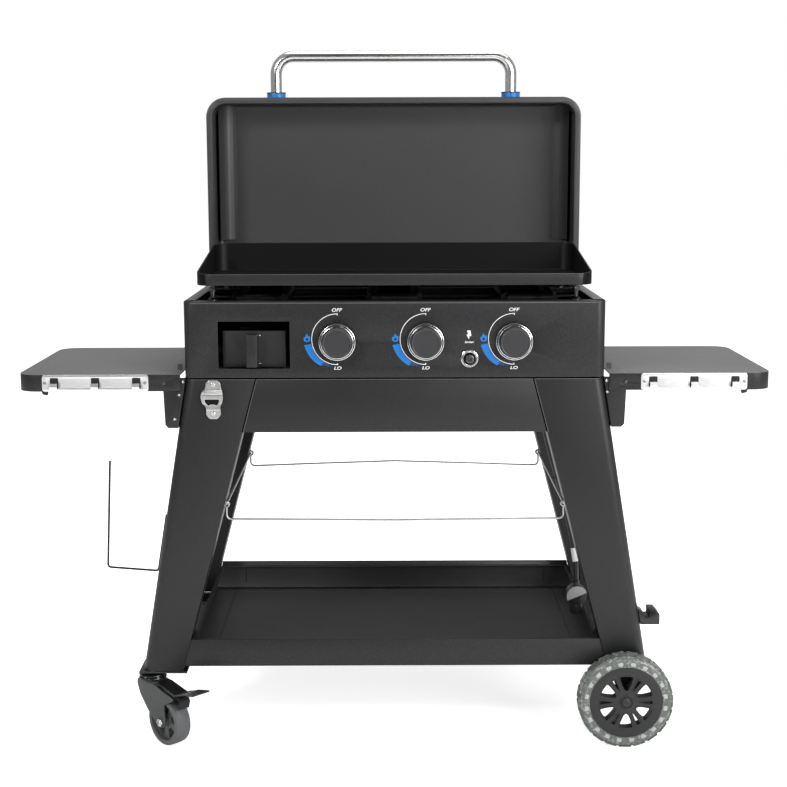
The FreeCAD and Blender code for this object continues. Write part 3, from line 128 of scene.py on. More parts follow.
# %% Studio
FLOOR_SIZE = 24
SKY_SEEN = 1.0
SKY_BEHIND_CAMERA = 0.05
SKY_AROUND = 0.42
SKY_TURN = (-0.95, -0.45)
FLOOR_GLOW = 0.75
AIM = Vector((0, 0, 0.8))
BOXES = {
    "key": ((-2.3, -3.1, 2.7), 0.6, 52),
    "fill": ((2.8, -3.0, 2.0), 2.0, 118),
    "top": ((0.5, 0.4, 4.2), 3.0, 200),
    "glow": ((0.75, -3.5, 1.5), 0.7, 9),
}


def make_sky():
    world = bpy.data.worlds.new("studio sky")
    bpy.context.scene.world = world
    world.use_nodes = True
    tree = world.node_tree
    way = add_node(tree, "TexCoord", out="Generated")
    depth = add_node(tree, "SeparateXYZ", {"Vector": way}, "Y")
    near, far = SKY_TURN
    limits = {"From Min": near, "From Max": far, "To Min": SKY_BEHIND_CAMERA, "To Max": SKY_AROUND}
    around = add_node(tree, "MapRange", {"Value": depth, **limits})
    seen = add_node(tree, "LightPath", out="Is Camera Ray")
    strength = add_node(tree, "MapRange", {"Value": seen, "To Min": around, "To Max": SKY_SEEN})
    feed(tree, tree.nodes["Background"], {"Color": (1, 1, 1), "Strength": strength})


def make_soft_box(name, place, size, power):
    data = bpy.data.lights.new(name, "AREA")
    data.size = size
    data.energy = power
    light = put_in_scene(name, data)
    light.location = place
    light.rotation_euler = (AIM - Vector(place)).to_track_quat("-Z", "Y").to_euler()


def make_floor():
    half = FLOOR_SIZE / 2
    mesh = bpy.data.meshes.new("floor")
    corners = [(-half, -half, 0), (half, -half, 0), (half, half, 0), (-half, half, 0)]
    mesh.from_pydata(corners, [], [(0, 1, 2, 3)])
    floor = put_in_scene("floor", mesh)
    return floor


make_sky()
for name, (place, size, power) in BOXES.items():
    make_soft_box(name, place, size, power)
floor = make_floor()
bpy.context.scene.view_settings.view_transform = "Standard"
print("soft boxes:", len(BOXES))

# %% [markdown]
# Several finishes share the same small effects. A powder coat is dull paint with a fine pebbled
# skin in which lighter grains show. Rolled or drawn steel has a fine grain in one direction. Hands
# and weather leave faint smudges on all of them. Each effect is a shader node group, so one tree
# is tuned once and every material gives it its own values.

# %% Helper for node groups
def new_group(name, inputs, outputs):
    """A node group whose inputs are numbers or colours with their usual values."""
    group = bpy.data.node_groups.new(name, "ShaderNodeTree")
    for label, usual in inputs.items():
        kind = "NodeSocketColor" if isinstance(usual, tuple) else "NodeSocketFloat"
        group.interface.new_socket(label, in_out="INPUT", socket_type=kind).default_value = usual
    for label in outputs:
        kind = "NodeSocketColor" if label == "Color" else "NodeSocketFloat"
        group.interface.new_socket(label, in_out="OUTPUT", socket_type=kind)
    return group, group.nodes.new("NodeGroupInput").outputs, group.nodes.new("NodeGroupOutput")


# %% Speckled powder coat group
def make_speckle():
    group, given, result = new_group(
        "speckled coat",
        {"Base": (0.03, 0.03, 0.032, 1), "Grain": (0.1, 0.1, 0.11, 1), "Scale": 900.0, "Amount": 0.35},
        ("Color", "Height", "Roughness"),
    )
    fine = noise(group, Scale=given["Scale"], Detail=3.0, Roughness=0.6)
    grains = add_node(group, "MapRange", {"Value": fine, "From Min": 0.52, "From Max": 0.68})
    share = calculate(group, "MULTIPLY", grains, given["Amount"])
    tones = {"Factor": share, 6: given["Base"], 7: given["Grain"]}
    color = add_node(group, "Mix", tones, 2, data_type="RGBA")
    shine = add_node(group, "MapRange", {"Value": fine, "To Min": 0.5, "To Max": 0.36})
    feed(group, result, {"Color": color, "Height": fine, "Roughness": shine})
    return group


# %% Directional grain group
def make_grain():
    usual = {
        "Tone": (0.6, 0.6, 0.6, 1), "Along X": 4.0, "Along Y": 400.0, "Along Z": 400.0,
        "Depth": 0.12, "Rough": 0.24,
    }
    group, given, result = new_group("drawn grain", usual, ("Color", "Height", "Roughness"))
    place = add_node(group, "TexCoord", out="Object")
    scale = add_node(group, "CombineXYZ", {axis: given[f"Along {axis}"] for axis in "XYZ"})
    stretch = add_node(group, "VectorMath", {0: place, 1: scale}, operation="MULTIPLY")
    lines = noise(group, stretch, Scale=1.0, Detail=4.0)
    tones = {"Factor": given["Depth"], 6: given["Tone"], 7: lines}
    color = add_node(group, "Mix", tones, 2, data_type="RGBA", blend_type="MULTIPLY")
    duller = calculate(group, "ADD", given["Rough"], 0.14)
    shine = add_node(group, "MapRange", {"Value": lines, "To Min": given["Rough"], "To Max": duller})
    feed(group, result, {"Color": color, "Height": lines, "Roughness": shine})
    return group


# %% Smudge group
def make_smudge():
    usual = {"Color": (0.1, 0.1, 0.1, 1), "Roughness": 0.4, "Scale": 9.0, "Amount": 0.08}
    group, given, result = new_group("smudges", usual, ("Color", "Roughness"))
    cloud = noise(group, Scale=given["Scale"], Detail=5.0, Roughness=0.65)
    centred = calculate(group, "SUBTRACT", cloud, 0.5)
    share = calculate(group, "MULTIPLY", centred, given["Amount"])
    rough = calculate(group, "ADD", given["Roughness"], share)
    gain = calculate(group, "ADD", share, 1.0)
    tint = add_node(group, "VectorMath", {0: given["Color"], "Scale": gain}, operation="SCALE")
    feed(group, result, {"Color": tint, "Roughness": rough})
    return group


speckle = make_speckle()
grain = make_grain()
smudge = make_smudge()
print("groups:", [group.name for group in (speckle, grain, smudge)])


# %% Material builders
def spaced(values):
    return {key.replace("_", " "): value for key, value in values.items()}


def add_group(tree, group, **inputs):
    node = tree.nodes.new("ShaderNodeGroup")
    node.node_tree = group
    feed(tree, node, spaced(inputs))
    return node.outputs


def new_material(name, **plain):
    """A material with its plain shader sockets set."""
    material = bpy.data.materials.new(name)
    material.use_nodes = True
    shader = material.node_tree.nodes["Principled BSDF"]
    feed(material.node_tree, shader, spaced(plain))
    return material, material.node_tree, shader


def finish(tree, shader, skin, smudges, depth, strength, scale=9.0):
    """Gives the shader a skin's bump, and its colour and roughness with smudges on them."""
    color, rough = skin["Color"], skin["Roughness"]
    dirt = add_group(tree, smudge, Color=color, Roughness=rough, Amount=smudges, Scale=scale)
    bump = add_node(tree, "Bump", {"Height": skin["Height"], "Strength": strength, "Distance": depth})
    feed(tree, shader, {"Base Color": dirt["Color"], "Roughness": dirt["Roughness"], "Normal": bump})


def coat_material(name, base, grains, scale=900.0, amount=0.35, depth=0.00006, smudges=0.12, bump=0.8, **plain):
    """Paint, or scale on hot steel, with grains of another colour in it."""
    material, tree, shader = new_material(name, **plain)
    skin = add_group(tree, speckle, Base=base, Grain=grains, Scale=scale, Amount=amount)
    finish(tree, shader, skin, smudges, depth, bump)
    return material


def steel_material(name, tone, along, depth=0.15, smudges=0.06, rough=0.24):
    material, tree, shader = new_material(name, Metallic=1.0)
    x, y, z = along
    skin = add_group(tree, grain, Tone=tone, Along_X=x, Along_Y=y, Along_Z=z, Depth=depth, Rough=rough)
    finish(tree, shader, skin, smudges, 0.00002, 0.5)
    return material


def moulded_material(name, color, rough=0.4, scale=1400.0, depth=0.00003, **plain):
    """Plastic, rubber or print: one colour with a fine skin and faint smudges."""
    material, tree, shader = new_material(name, **plain)
    height = noise(tree, Scale=scale, Detail=2.0)
    finish(tree, shader, {"Color": color, "Roughness": rough, "Height": height}, 0.15, depth, 0.5, 30.0)
    return material


def mottled_material(name, dark, light, scale, rough):
    """Clear plastic seen as a mottle of two tones, since its inside holds many small bubbles."""
    material, tree, shader = new_material(name)
    mottle = add_group(tree, speckle, Base=dark, Grain=light, Scale=scale, Amount=1.0)
    skin = {"Color": mottle["Color"], "Roughness": rough, "Height": mottle["Height"]}
    finish(tree, shader, skin, 0.2, 0.0002, 0.6, 25.0)
    return material


# %% [markdown]
# The finishes themselves: a black powder coat on nearly all the sheet steel, a grey one that is a painted sheen
# on the tops of the side shelves and box lips and a painted highlight on folds, glossy enamel on the griddle,
# drawn stainless steel on the handle, bright stamped steel on the hooks, zinc wire, black and grey plastics,
# and a clear grey tyre.

# %% Finishes of coat and steel
coat = coat_material(
    "black powder coat", (0.011, 0.011, 0.012), (0.06, 0.06, 0.065), 700.0, 0.45, Specular_IOR_Level=0.34,
)
# The grey is a painted sheen: the shelf tops are black steel whose brightness is the sky they mirror at a low
# angle. The same grey is a painted highlight on folds.
shelf_coat = coat_material("grey shelf coat", (0.068, 0.07, 0.068), (0.15, 0.15, 0.15), 1000.0)
enamel = coat_material(
    "griddle enamel", (0.0025, 0.0025, 0.0027), (0.008, 0.008, 0.008), 500.0, 0.2, 0.00001,
    Specular_IOR_Level=0.13,
)
fork_grey = coat_material("fork grey", (0.05, 0.054, 0.053), (0.1, 0.105, 0.103), amount=0.3)
# The crease's pale grey is a painted highlight along its ridge.
crease_highlight = coat_material("shelf crease", (0.16, 0.16, 0.16), (0.24, 0.24, 0.24), 1100.0, 0.3)
lid_inner = coat_material("lid inside", (0.034, 0.034, 0.036), (0.1, 0.1, 0.105))
stainless = steel_material("drawn stainless", (0.66, 0.66, 0.65), (4.0, 500.0, 500.0), rough=0.15)
bright = steel_material("bright stamped steel", (0.97, 0.97, 0.97), (60.0, 500.0, 500.0), 0.08)
zinc = steel_material("zinc wire", (0.56, 0.56, 0.57), (300.0, 300.0, 300.0), 0.3)
dark_wire = steel_material("dark wire", (0.05, 0.05, 0.05), (300.0, 300.0, 300.0), 0.3)
plated = steel_material("plated steel", (0.42, 0.42, 0.43), (200.0, 200.0, 200.0), 0.25)
pipe_metal = steel_material("pipe and valves", (0.62, 0.56, 0.45), (150.0, 150.0, 150.0), 0.2)
chrome = steel_material("chrome plate", (0.76, 0.76, 0.76), (80.0, 80.0, 80.0), 0.3, 0.02, 0.16)
cast_bright = steel_material("bright casting", (0.62, 0.62, 0.61), (90.0, 90.0, 90.0), 0.25)
dark_steel = steel_material("dark bolt steel", (0.12, 0.12, 0.125), (150.0, 150.0, 150.0), 0.3)
heat_steel = coat_material(
    "heat stained steel", (0.018, 0.017, 0.016), (0.008, 0.006, 0.005), 45.0, 0.9, 0.00005, 0.3, 0.5,
    Metallic=0.9,
)

# %% Finishes of plastic, rubber and print
blue = moulded_material("bright blue", (0.003, 0.17, 0.55))
black_plastic = moulded_material("black plastic", (0.022, 0.022, 0.024), 0.42)
dark_rim = moulded_material("dark wheel plastic", (0.012, 0.012, 0.0135), 0.5)
grey_plastic = moulded_material("grey cast body", (0.42, 0.42, 0.41), 0.45)
tread_grey = moulded_material("grey tread", (0.1, 0.103, 0.106), 0.55)
core_grey = moulded_material("caster core grey", (0.085, 0.09, 0.088), 0.5)
hose_black = moulded_material("hose rubber", (0.012, 0.012, 0.012), 0.38)
black_gloss = moulded_material("black pressed steel", (0.008, 0.008, 0.009), 0.25)
white_print = moulded_material("white print", (0.85, 0.85, 0.85), 0.5)
sleeve_white = moulded_material("white sleeve", (0.78, 0.78, 0.77), 0.55)
deep_black = moulded_material("deep shadow black", (0.006, 0.006, 0.006), 0.7)
joint_black = moulded_material("joint shadow", (0.001, 0.001, 0.001), 0.9, Specular_IOR_Level=0.0)
clear_tyre = mottled_material("clear grey tyre", (0.105, 0.115, 0.105), (0.30, 0.32, 0.31), 170.0, 0.3)
tyre_block = moulded_material("pale tyre block", (0.38, 0.39, 0.38), 0.35)
floor_white = moulded_material("floor white", (0.94, 0.94, 0.94), 0.7, 40.0, 0.0)
floor.data.materials.append(floor_white)


def glow_for_camera(material, amount):
    """Lifts the floor to white where the camera sees it, without lighting the object from below."""
    tree = material.node_tree
    seen = add_node(tree, "LightPath", out="Is Camera Ray")
    gain = calculate(tree, "MULTIPLY", seen, amount)
    feed(tree, tree.nodes["Principled BSDF"], {"Emission Color": (1, 1, 1), "Emission Strength": gain})


glow_for_camera(floor_white, FLOOR_GLOW)
print("finishes:", len(bpy.data.materials))

# %% Finishes on the CAD pieces
FINISHES = {
    "powder_coat": coat, "shelf_coat": shelf_coat, "griddle_black": enamel, "stainless": stainless,
    "bright_steel": bright, "zinc_wire": zinc, "galvanised": plated, "brass": pipe_metal,
    "blue_plastic": blue, "black_plastic": black_plastic, "grey_plastic": grey_plastic,
    "tyre_grey": tread_grey, "caster_grey": tread_grey, "hose_rubber": hose_black,
}
slot_of = {part["node"]: part["material_slot"] for part in frame["record"]["subparts"]}
body_of = {name: body for body, names in frame["record"]["behaviour"]["bodies"].items() for name in names}
NODE_FINISHES = {
    "burners": heat_steel, "lid_hinge_brackets": dark_steel, "axle_brackets": coat,
    "caster_plates": black_gloss, "towel_holder": dark_wire, "lid_shell": lid_inner,
    "tank_hook": black_gloss,
}


def paint(thing, material):
    thing.data.materials.clear()
    thing.data.materials.append(material)


def finish_of(node):
    return NODE_FINISHES.get(node, FINISHES[slot_of[node]])


for name, node in nodes.items():
    paint(node, finish_of(name))
print("painted", len(nodes), "nodes")

# %% [markdown]
# Sheet steel is never knife-sharp: a press leaves a small round on every edge, and that round is
# what catches the light. Here each CAD piece is copied, its triangles are merged back into flat
# faces, and a bevel is added to the sharp edges. The copy then stands for the CAD piece.

# %% Helpers for meshes
def smooth(mesh, angle=35):
    for face in mesh.polygons:
        face.use_smooth = True
    mesh.set_sharp_from_angle(angle=math.radians(angle))


def to_mesh(name, work):
    mesh = bpy.data.meshes.new(name)
    work.to_mesh(mesh)
    work.free()
    return mesh


def shown_mesh(thing):
    """The mesh that a curve, or a piece with modifiers, shows in the end."""
    depsgraph = bpy.context.evaluated_depsgraph_get()
    return bpy.data.meshes.new_from_object(thing.evaluated_get(depsgraph))


def apply_modifiers(thing):
    mesh = shown_mesh(thing)
    thing.modifiers.clear()
    thing.data = mesh
    return mesh


def join(name, meshes):
    work = bmesh.new()
    for mesh in meshes:
        work.from_mesh(mesh)
    joined = to_mesh(name, work)
    smooth(joined)
    return joined


def add_piece(name, mesh, body, material, slot, stands_for=None):
    """Puts a mesh, or several joined, on a body; it may stand for a CAD piece."""
    piece = put_in_scene(name, join(name, mesh) if isinstance(mesh, list) else mesh)
    piece.data.name = name
    paint(piece, material)
    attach(piece, body)
    if stands_for:
        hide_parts(stands_for)
    return piece


# %% Softened copies of sheet parts
WELD = 0.00001
FLAT_WITHIN = math.radians(0.3)
SHARP_OVER = math.radians(40)
SOFT_EDGES = {
    "control_panel": 1.4, "box_side_left": 0.7, "box_side_right": 0.7, "lid_shell": 0.9,
    "leg_front_left": 1.0, "leg_front_right": 1.0, "leg_rear_left": 1.0, "leg_rear_right": 1.0,
    "apron_front": 1.4, "apron_rear": 0.7, "bottom_shelf": 1.0, "griddle_plate": 1.2,
    "side_shelf_left": 0.9, "side_shelf_right": 0.9, "grease_tray": 0.8, "tank_hook": 0.8,
    "caster_plates": 0.8, "shelf_brackets": 0.8, "handle_spacers": 1.5, "side_rails": 0.6,
}


def soften(node, width):
    """A copy of a CAD piece with rounded edges, which stands for it."""
    work = bmesh.new()
    work.from_mesh(nodes[node].data)
    bmesh.ops.remove_doubles(work, verts=work.verts, dist=WELD)
    bmesh.ops.dissolve_limit(work, angle_limit=FLAT_WITHIN, verts=work.verts, edges=work.edges)
    mesh = to_mesh(node + "_soft", work)
    piece = add_piece(node + "_soft", mesh, body_of[node], finish_of(node), slot_of[node], node)
    bevel = piece.modifiers.new("edge", "BEVEL")
    bevel.width = width
    bevel.segments = 2
    bevel.limit_method = "ANGLE"
    bevel.angle_limit = SHARP_OVER
    bevel.harden_normals = False
    smooth(apply_modifiers(piece))
    return piece


softened = {node: soften(node, width * MM) for node, width in SOFT_EDGES.items()}
print("softened", len(softened))


# %% A second finish, or painted light, on some faces
FRONT_WALL = 3 * MM
BOX_LIP = 0.88
SHELF_REAR = 0.2


def second_finish_or_painted_light(name, material, chosen):
    mesh = softened[name].data
    mesh.materials.append(material)
    for face in mesh.polygons:
        if chosen(face):
            face.material_index = 1


griddle_front = min(vertex.co.y for vertex in softened["griddle_plate"].data.vertices)
second_finish_or_painted_light("griddle_plate", coat, lambda face: face.center.y < griddle_front + FRONT_WALL)
# The bottom shelf's rear wall gets the lighter lid coat as painted light, lifting the shade it stands in under
# the box.
second_finish_or_painted_light("bottom_shelf", lid_inner, lambda face: face.normal.y < -0.7 and face.center.y > SHELF_REAR)
# Side shelf tops keep the grey as a painted sheen; their other faces get the black coat.
for name in ("side_shelf_left", "side_shelf_right"):
    second_finish_or_painted_light(name, coat, lambda face: face.normal.z < 0.8)
# The top faces of the box sides' lips get the grey as a painted sheen.
for name in ("box_side_left", "box_side_right"):
    second_finish_or_painted_light(name, shelf_coat, lambda face: face.normal.z > 0.9 and face.center.z > BOX_LIP)
print("griddle front:", round(griddle_front, 3))

# %% [markdown]
# Most small parts come from three shop habits: turned on a lathe, stamped from flat plate, or bent
# from wire. Each habit gets one helper, and a part then needs only its outline in millimetres. A
# curve object does the stamping, because it fills holes and rounds edges by itself.

# %% Helpers for placing and finishing
ENDS = (("front", 1), ("rear", -1))
SIDES = (("left", -1), ("right", 1))
QUARTER_TURN = math.radians(90)
HALF_TURN = math.radians(180)


def spot(x, y, z):
    return Vector((x, y, z)) * MM


def shifted(x, y, z):
    return Matrix.Translation(spot(x, y, z))


def on_circle(radius, degrees):
    angle = math.radians(degrees)
    return radius * math.cos(angle), radius * math.sin(angle)


def on_front(x, y, z, side=1):
    """Stands a flat drawing upright: its X and Y become the part's X and Z, facing out of the side."""
    upright = Matrix.Rotation(QUARTER_TURN, 4, "X")
    if side < 0:
        upright = Matrix.Rotation(HALF_TURN, 4, "Z") @ upright
    return shifted(x, y, z) @ upright


def pointing(x, y, z, direction):
    """Turns a part made along Z to point this way."""
    return shifted(x, y, z) @ Vector(direction).to_track_quat("Z", "Y").to_matrix().to_4x4()


def skin_rings(work, rings):
    """Faces between each ring of corners and the next."""
    for low, high in zip(rings, rings[1:]):
        for i in range(len(low)):
            j = (i + 1) % len(low)
            work.faces.new((low[i], low[j], high[j], high[i]))


def finish_mesh(work, place=Matrix()):
    bmesh.ops.remove_doubles(work, verts=work.verts, dist=0.000002)
    bmesh.ops.recalc_face_normals(work, faces=work.faces)
    mesh = to_mesh("part", work)
    mesh.transform(place)
    smooth(mesh)
    return mesh


def mirrored(mesh, side):
    """The mesh as drawn on the left, or turned over for the right."""
    if side > 0:
        mesh.transform(Matrix.Scale(-1, 4, (1, 0, 0)))
        mesh.flip_normals()
    return mesh


# %% Helpers for turning and rounding
def lathe(outline, place, steps=72):
    """Turns an outline of (radius, along) corners about its own Z axis."""
    work = bmesh.new()
    turns = [2 * math.pi * step / steps for step in range(steps)]
    rings = []
    for radius, along in outline:
        corners = [spot(radius * math.cos(turn), radius * math.sin(turn), along) for turn in turns]
        rings.append([work.verts.new(corner) for corner in corners])
    skin_rings(work, rings)
    return finish_mesh(work, place)


def round_corners(points, radius, closed=True, steps=5):
    """Replaces each corner by a curve that its two sides leave room for."""
    points = [Vector((*point, 0)) if len(point) == 2 else Vector(point) for point in points]
    result = []
    for i, corner in enumerate(points):
        if not closed and i in (0, len(points) - 1):
            result.append(corner)
            continue
        before = points[i - 1] - corner
        after = points[(i + 1) % len(points)] - corner
        half = before.angle(after) / 2
        reach = min(radius / math.tan(half), before.length * 0.49, after.length * 0.49)
        start = corner + before.normalized() * reach
        end = corner + after.normalized() * reach
        for step in range(steps + 1):
            share = step / steps
            result.append(start.lerp(corner, share).lerp(corner.lerp(end, share), share))
    return result


def ring_points(radius, x=0, y=0, steps=48, start=0, sweep=360):
    """Points round a circle, or along a part of it from one angle to another in degrees."""
    count = steps if sweep == 360 else steps + 1
    angles = [math.radians(start + sweep * step / steps) for step in range(count)]
    return [(x + radius * math.cos(a), y + radius * math.sin(a)) for a in angles]


# %% Helpers for stamping and bending
def curve_mesh(curve, place=Matrix()):
    holder = put_in_scene("drawing", curve)
    work = bmesh.new()
    work.from_mesh(shown_mesh(holder))
    bpy.data.objects.remove(holder)
    bpy.data.curves.remove(curve)
    return finish_mesh(work, place)


def new_curve(bevel, resolution):
    curve = bpy.data.curves.new("drawing", "CURVE")
    curve.bevel_depth = bevel * MM
    curve.bevel_resolution = resolution
    curve.use_fill_caps = True
    return curve


def add_spline(curve, points, closed):
    spline = curve.splines.new("POLY")
    spline.points.add(len(points) - 1)
    for target, point in zip(spline.points, points):
        height = point[2] if len(point) > 2 else 0
        target.co = (point[0] * MM, point[1] * MM, height * MM, 1)
    spline.use_cyclic_u = closed


def clockwise(points):
    return sum(a[0] * b[1] - b[0] * a[1] for a, b in zip(points, points[1:] + points[:1])) < 0


def stamp(outlines, thickness, edge, place):
    """A plate filled between its outlines, the first one outside, with rounded edges."""
    curve = new_curve(edge, 2)
    curve.dimensions = "2D"
    curve.fill_mode = "BOTH"
    curve.extrude = max(thickness / 2 - edge, 0) * MM
    curve.offset = -edge * MM
    for number, outline in enumerate(outlines):
        outline = list(outline)
        if clockwise(outline) == (number == 0):
            outline.reverse()
        add_spline(curve, outline, True)
    return curve_mesh(curve, place)


def bend_wire(points, radius, corner=0, closed=False, place=Matrix()):
    """A round wire along points in millimetres, with its corners bent."""
    curve = new_curve(radius, 5)
    curve.dimensions = "3D"
    if corner:
        points = round_corners(points, corner, closed, 8)
    add_spline(curve, points, closed)
    return curve_mesh(curve, place)


def ribbon(rows, thick, place=Matrix(), bend=3):
    """A strip of plate along rows of (along, up, half width), thick upwards."""
    path = round_corners([Vector(row) for row in rows], bend, closed=False)
    work = bmesh.new()
    rings = []
    for i, (along, up, half) in enumerate(path):
        run = (path[min(i + 1, len(path) - 1)] - path[max(i - 1, 0)]).to_2d().normalized()
        over = (along - run.y * thick, up + run.x * thick)
        corners = [(along, -half, up), (along, half, up), (over[0], half, over[1]), (over[0], -half, over[1])]
        rings.append([work.verts.new(spot(*corner)) for corner in corners])
    skin_rings(work, rings)
    work.faces.new(rings[0])
    work.faces.new(rings[-1][::-1])
    return finish_mesh(work, place)


def add_mirrored(name, meshes, side, *rest):
    """Adds pieces drawn on the left to the side that is wanted."""
    return add_piece(name, mirrored(join(name, meshes), side), *rest)


# %% Screws and nuts
SCREW_HEAD = [(0, 0.35), (0.3, 0.45), (0.4, 0.97), (0.6, 1), (0.88, 0.75), (1, 0.35)]


def screw(radius, height, place):
    outline = [(radius * across, height * up) for across, up in SCREW_HEAD]
    return lathe(outline + [(radius, -0.5), (0, -0.5)], place, 24)


def nut(width, height, place, bore=0):
    corners = ring_points(width / 2 / math.cos(math.radians(30)), steps=6)
    outlines = [corners, ring_points(bore, steps=24)] if bore else [corners]
    return stamp(outlines, height, height * 0.12, place @ shifted(0, 0, height / 2))


print("helpers ready")

# %% [markdown]
# Each control is a turned plastic cap inside two bright rings, with a pointer that bridges the
# rings. The rings are separate lathe outlines, so the dark groove between them is a real gap that
# stays dark from any angle.

# %% Control knobs
KNOB_PLACES = {"left": ("knob_1", -111), "middle": ("knob_2", 60), "right": ("knob_3", 231)}
KNOB_BACK = -280
KNOB_HEIGHT = 813.5
DIAL_HEIGHT = 818
CAP_OUTLINE = [
    (0, 28.6), (24.5, 28.6), (25.6, 29.6), (27, 30), (28.4, 29.2), (28.9, 27.6), (29.1, 12), (29.1, 0),
    (0, 0),
]
OUTER_RING = [(33.4, 4), (33.4, 8.6), (34.1, 9.8), (35.2, 9.4), (36, 7.6), (36, 1.2), (34, 0.6), (33.4, 4)]
INNER_RING = [(30, 6), (30, 13.4), (30.6, 14.4), (31.6, 14), (32.2, 12.8), (32.2, 6), (30, 6)]


def make_knob(side, node, x):
    place = on_front(x, KNOB_BACK, KNOB_HEIGHT)
    body = f"knob_{side}"
    cap = lathe(CAP_OUTLINE, place, 96)
    base = lathe([(29, 0.2), (35.4, 0.2), (35.4, 6), (29, 6)], place, 96)
    tab = round_corners([(-5.2, 24), (-7.4, 36.2), (7.4, 36.2), (5.2, 24)], 1)
    pointer = stamp([tab], 14, 0.8, place @ shifted(0, 0, 8.2))
    add_piece(f"{body}_grip", [cap, base, pointer], body, black_plastic, "black_plastic", node)
    rings = [lathe(outline, place, 96) for outline in (OUTER_RING, INNER_RING)]
    add_piece(f"{body}_rings", rings, body, chrome, "bright_steel")


for side, (node, x) in KNOB_PLACES.items():
    make_knob(side, node, x)
print("knobs:", len(KNOB_PLACES))

# %% [markdown]
# The dial is printed on the panel: a fine arc from the off mark round to low, a blue band that
# widens as the flame grows and fades into dots at the low end, and a small flame. Each mark is a
# plate a tenth of a millimetre thick, which is how a print is usually modelled when it must survive
# an export without any image.

# %% Panel prints
PANEL_FACE = -275
PRINT = 0.12
LETTERS = {"OFF": (0, 57, 20, 6.6), "LO": (0.6, -56.2, 14.5, 6)}
FLAME = [
    (-1, -8), (-5.5, -5.5), (-6.5, -1), (-4.5, 2), (-3.5, 0.5), (-3, 3.5), (0.5, 8.5), (0.8, 4.8),
    (2.6, 2.4),
    (3.4, 4.6), (5.8, 1), (5.6, -4), (3, -7.4),
]
FLAME_EYE = [(-1.2, -5.6), (-2.6, -3), (-0.6, 0.8), (0.4, -1.2), (1.8, -0.4), (2.2, -3.4), (0.8, -5.6)]


def printed(outlines, place):
    return stamp(outlines, PRINT, 0.02, place)


def band(inner, outer, start, sweep, grow=0, steps=32):
    """A curved band whose outer edge moves out by grow from its start to its end."""
    inside = ring_points(inner, steps=steps, start=start, sweep=sweep)
    shares = [step / steps for step in range(steps, -1, -1)]
    return inside + [on_circle(outer + grow * share ** 0.8, start + sweep * share) for share in shares]


def lettering(words, width, height, place):
    """Words drawn with the built-in font, stretched to a width and height in millimetres."""
    curve = bpy.data.curves.new("words", "FONT")
    curve.body = words
    curve.shear = 0.2
    curve.offset = 0.012
    mesh = curve_mesh(curve)
    xs = [vertex.co.x for vertex in mesh.vertices]
    ys = [vertex.co.y for vertex in mesh.vertices]
    sx = width * MM / (max(xs) - min(xs))
    sy = height * MM / (max(ys) - min(ys))
    centre = Matrix.Translation((-(max(xs) + min(xs)) / 2, -(max(ys) + min(ys)) / 2, 0))
    mesh.transform(place @ Matrix.Diagonal((sx, sy, 1, 1)) @ centre)
    return mesh


def dots(place):
    """The fading tail of the blue band: rows of dots that shrink towards the low mark."""
    found = []
    for column in range(9):
        for row in range(4):
            if row > 3.4 - column * 0.25:
                continue
            centre = on_circle(52.6 + row * 1.9 - column * 0.12, 238 + column * 2.6)
            found.append(printed([ring_points(0.85 - column * 0.07, *centre, steps=8)], place))
    return found


def print_dial(side, x):
    place = on_front(x, PANEL_FACE - PRINT / 2, DIAL_HEIGHT)
    white = [printed([band(48.9, 50.1, 90, 180)], place)]
    for low in (46.6, -50.1):
        serif = [(-0.6, low), (0.9, low), (0.9, low + 3.5), (-0.6, low + 3.5)]
        white.append(printed([serif], place))
    for words, (dx, dz, width, height) in LETTERS.items():
        white.append(lettering(words, width, height, place @ shifted(dx, dz, 0)))
    add_piece(f"dial_marks_{side}", white, "station", white_print, "brass")
    flame = [[(fx * 1.08 - 58.5, fz * 1.05 + 3) for fx, fz in outline] for outline in (FLAME, FLAME_EYE)]
    blues = [printed([band(51.2, 60.5, 238, -48, 4.5)], place), *dots(place)]
    blues.append(printed(flame, place))
    add_piece(f"dial_band_{side}", blues, "station", blue, "blue_plastic")


for side, (_, x) in KNOB_PLACES.items():
    print_dial(side, x)
print("dials:", len(KNOB_PLACES))

# %% [markdown]
# The igniter is a chromed bezel with a push button in it, and a bolt mark above. The button's dark surrounding
# gap matters more than its own shape, so the bezel stops short of it, and a deep black ring laid there is
# painted shade for the gap.

# %% Igniter
IGNITER = (145, 780)
BEZEL_OUTLINE = [
    (10.2, 0.2), (10.2, 2.6), (11.4, 3.6), (13.2, 3.9), (14, 3.2), (14.4, 2.2), (15.4, 2.2), (16, 2.8),
    (16.8, 2.4),
    (17, 1.2), (17, 0), (12.2, 0), (12.2, -24), (10.2, -24), (10.2, 0.2),
]
GAP_SHADE_OUTLINE = [(10.3, 2.7), (14.2, 2.7), (14.2, 3.4), (11.5, 4), (10.3, 3.2), (10.3, 2.7)]
BUTTON_OUTLINE = [(0, 9.6), (3.4, 9.6), (4.2, 10.8), (6.4, 11), (8, 10.2), (8.7, 8.4), (8.7, -18), (0, -18)]
BOLT = [(1.5, 9), (-5, 9), (-3, 0.6), (-6.4, 0.6), (-1, -9.6), (-0.6, -2.4), (3.4, -2.4)]
front = on_front(IGNITER[0], PANEL_FACE, IGNITER[1])
bezel = lathe(BEZEL_OUTLINE, front)
button = lathe(BUTTON_OUTLINE, front)
gap_shade = lathe(GAP_SHADE_OUTLINE, front)
add_piece("igniter_bezel", bezel, "station", chrome, "bright_steel", "igniter_housing")
add_piece("igniter_push", button, "igniter", dark_steel, "bright_steel", "igniter_button")
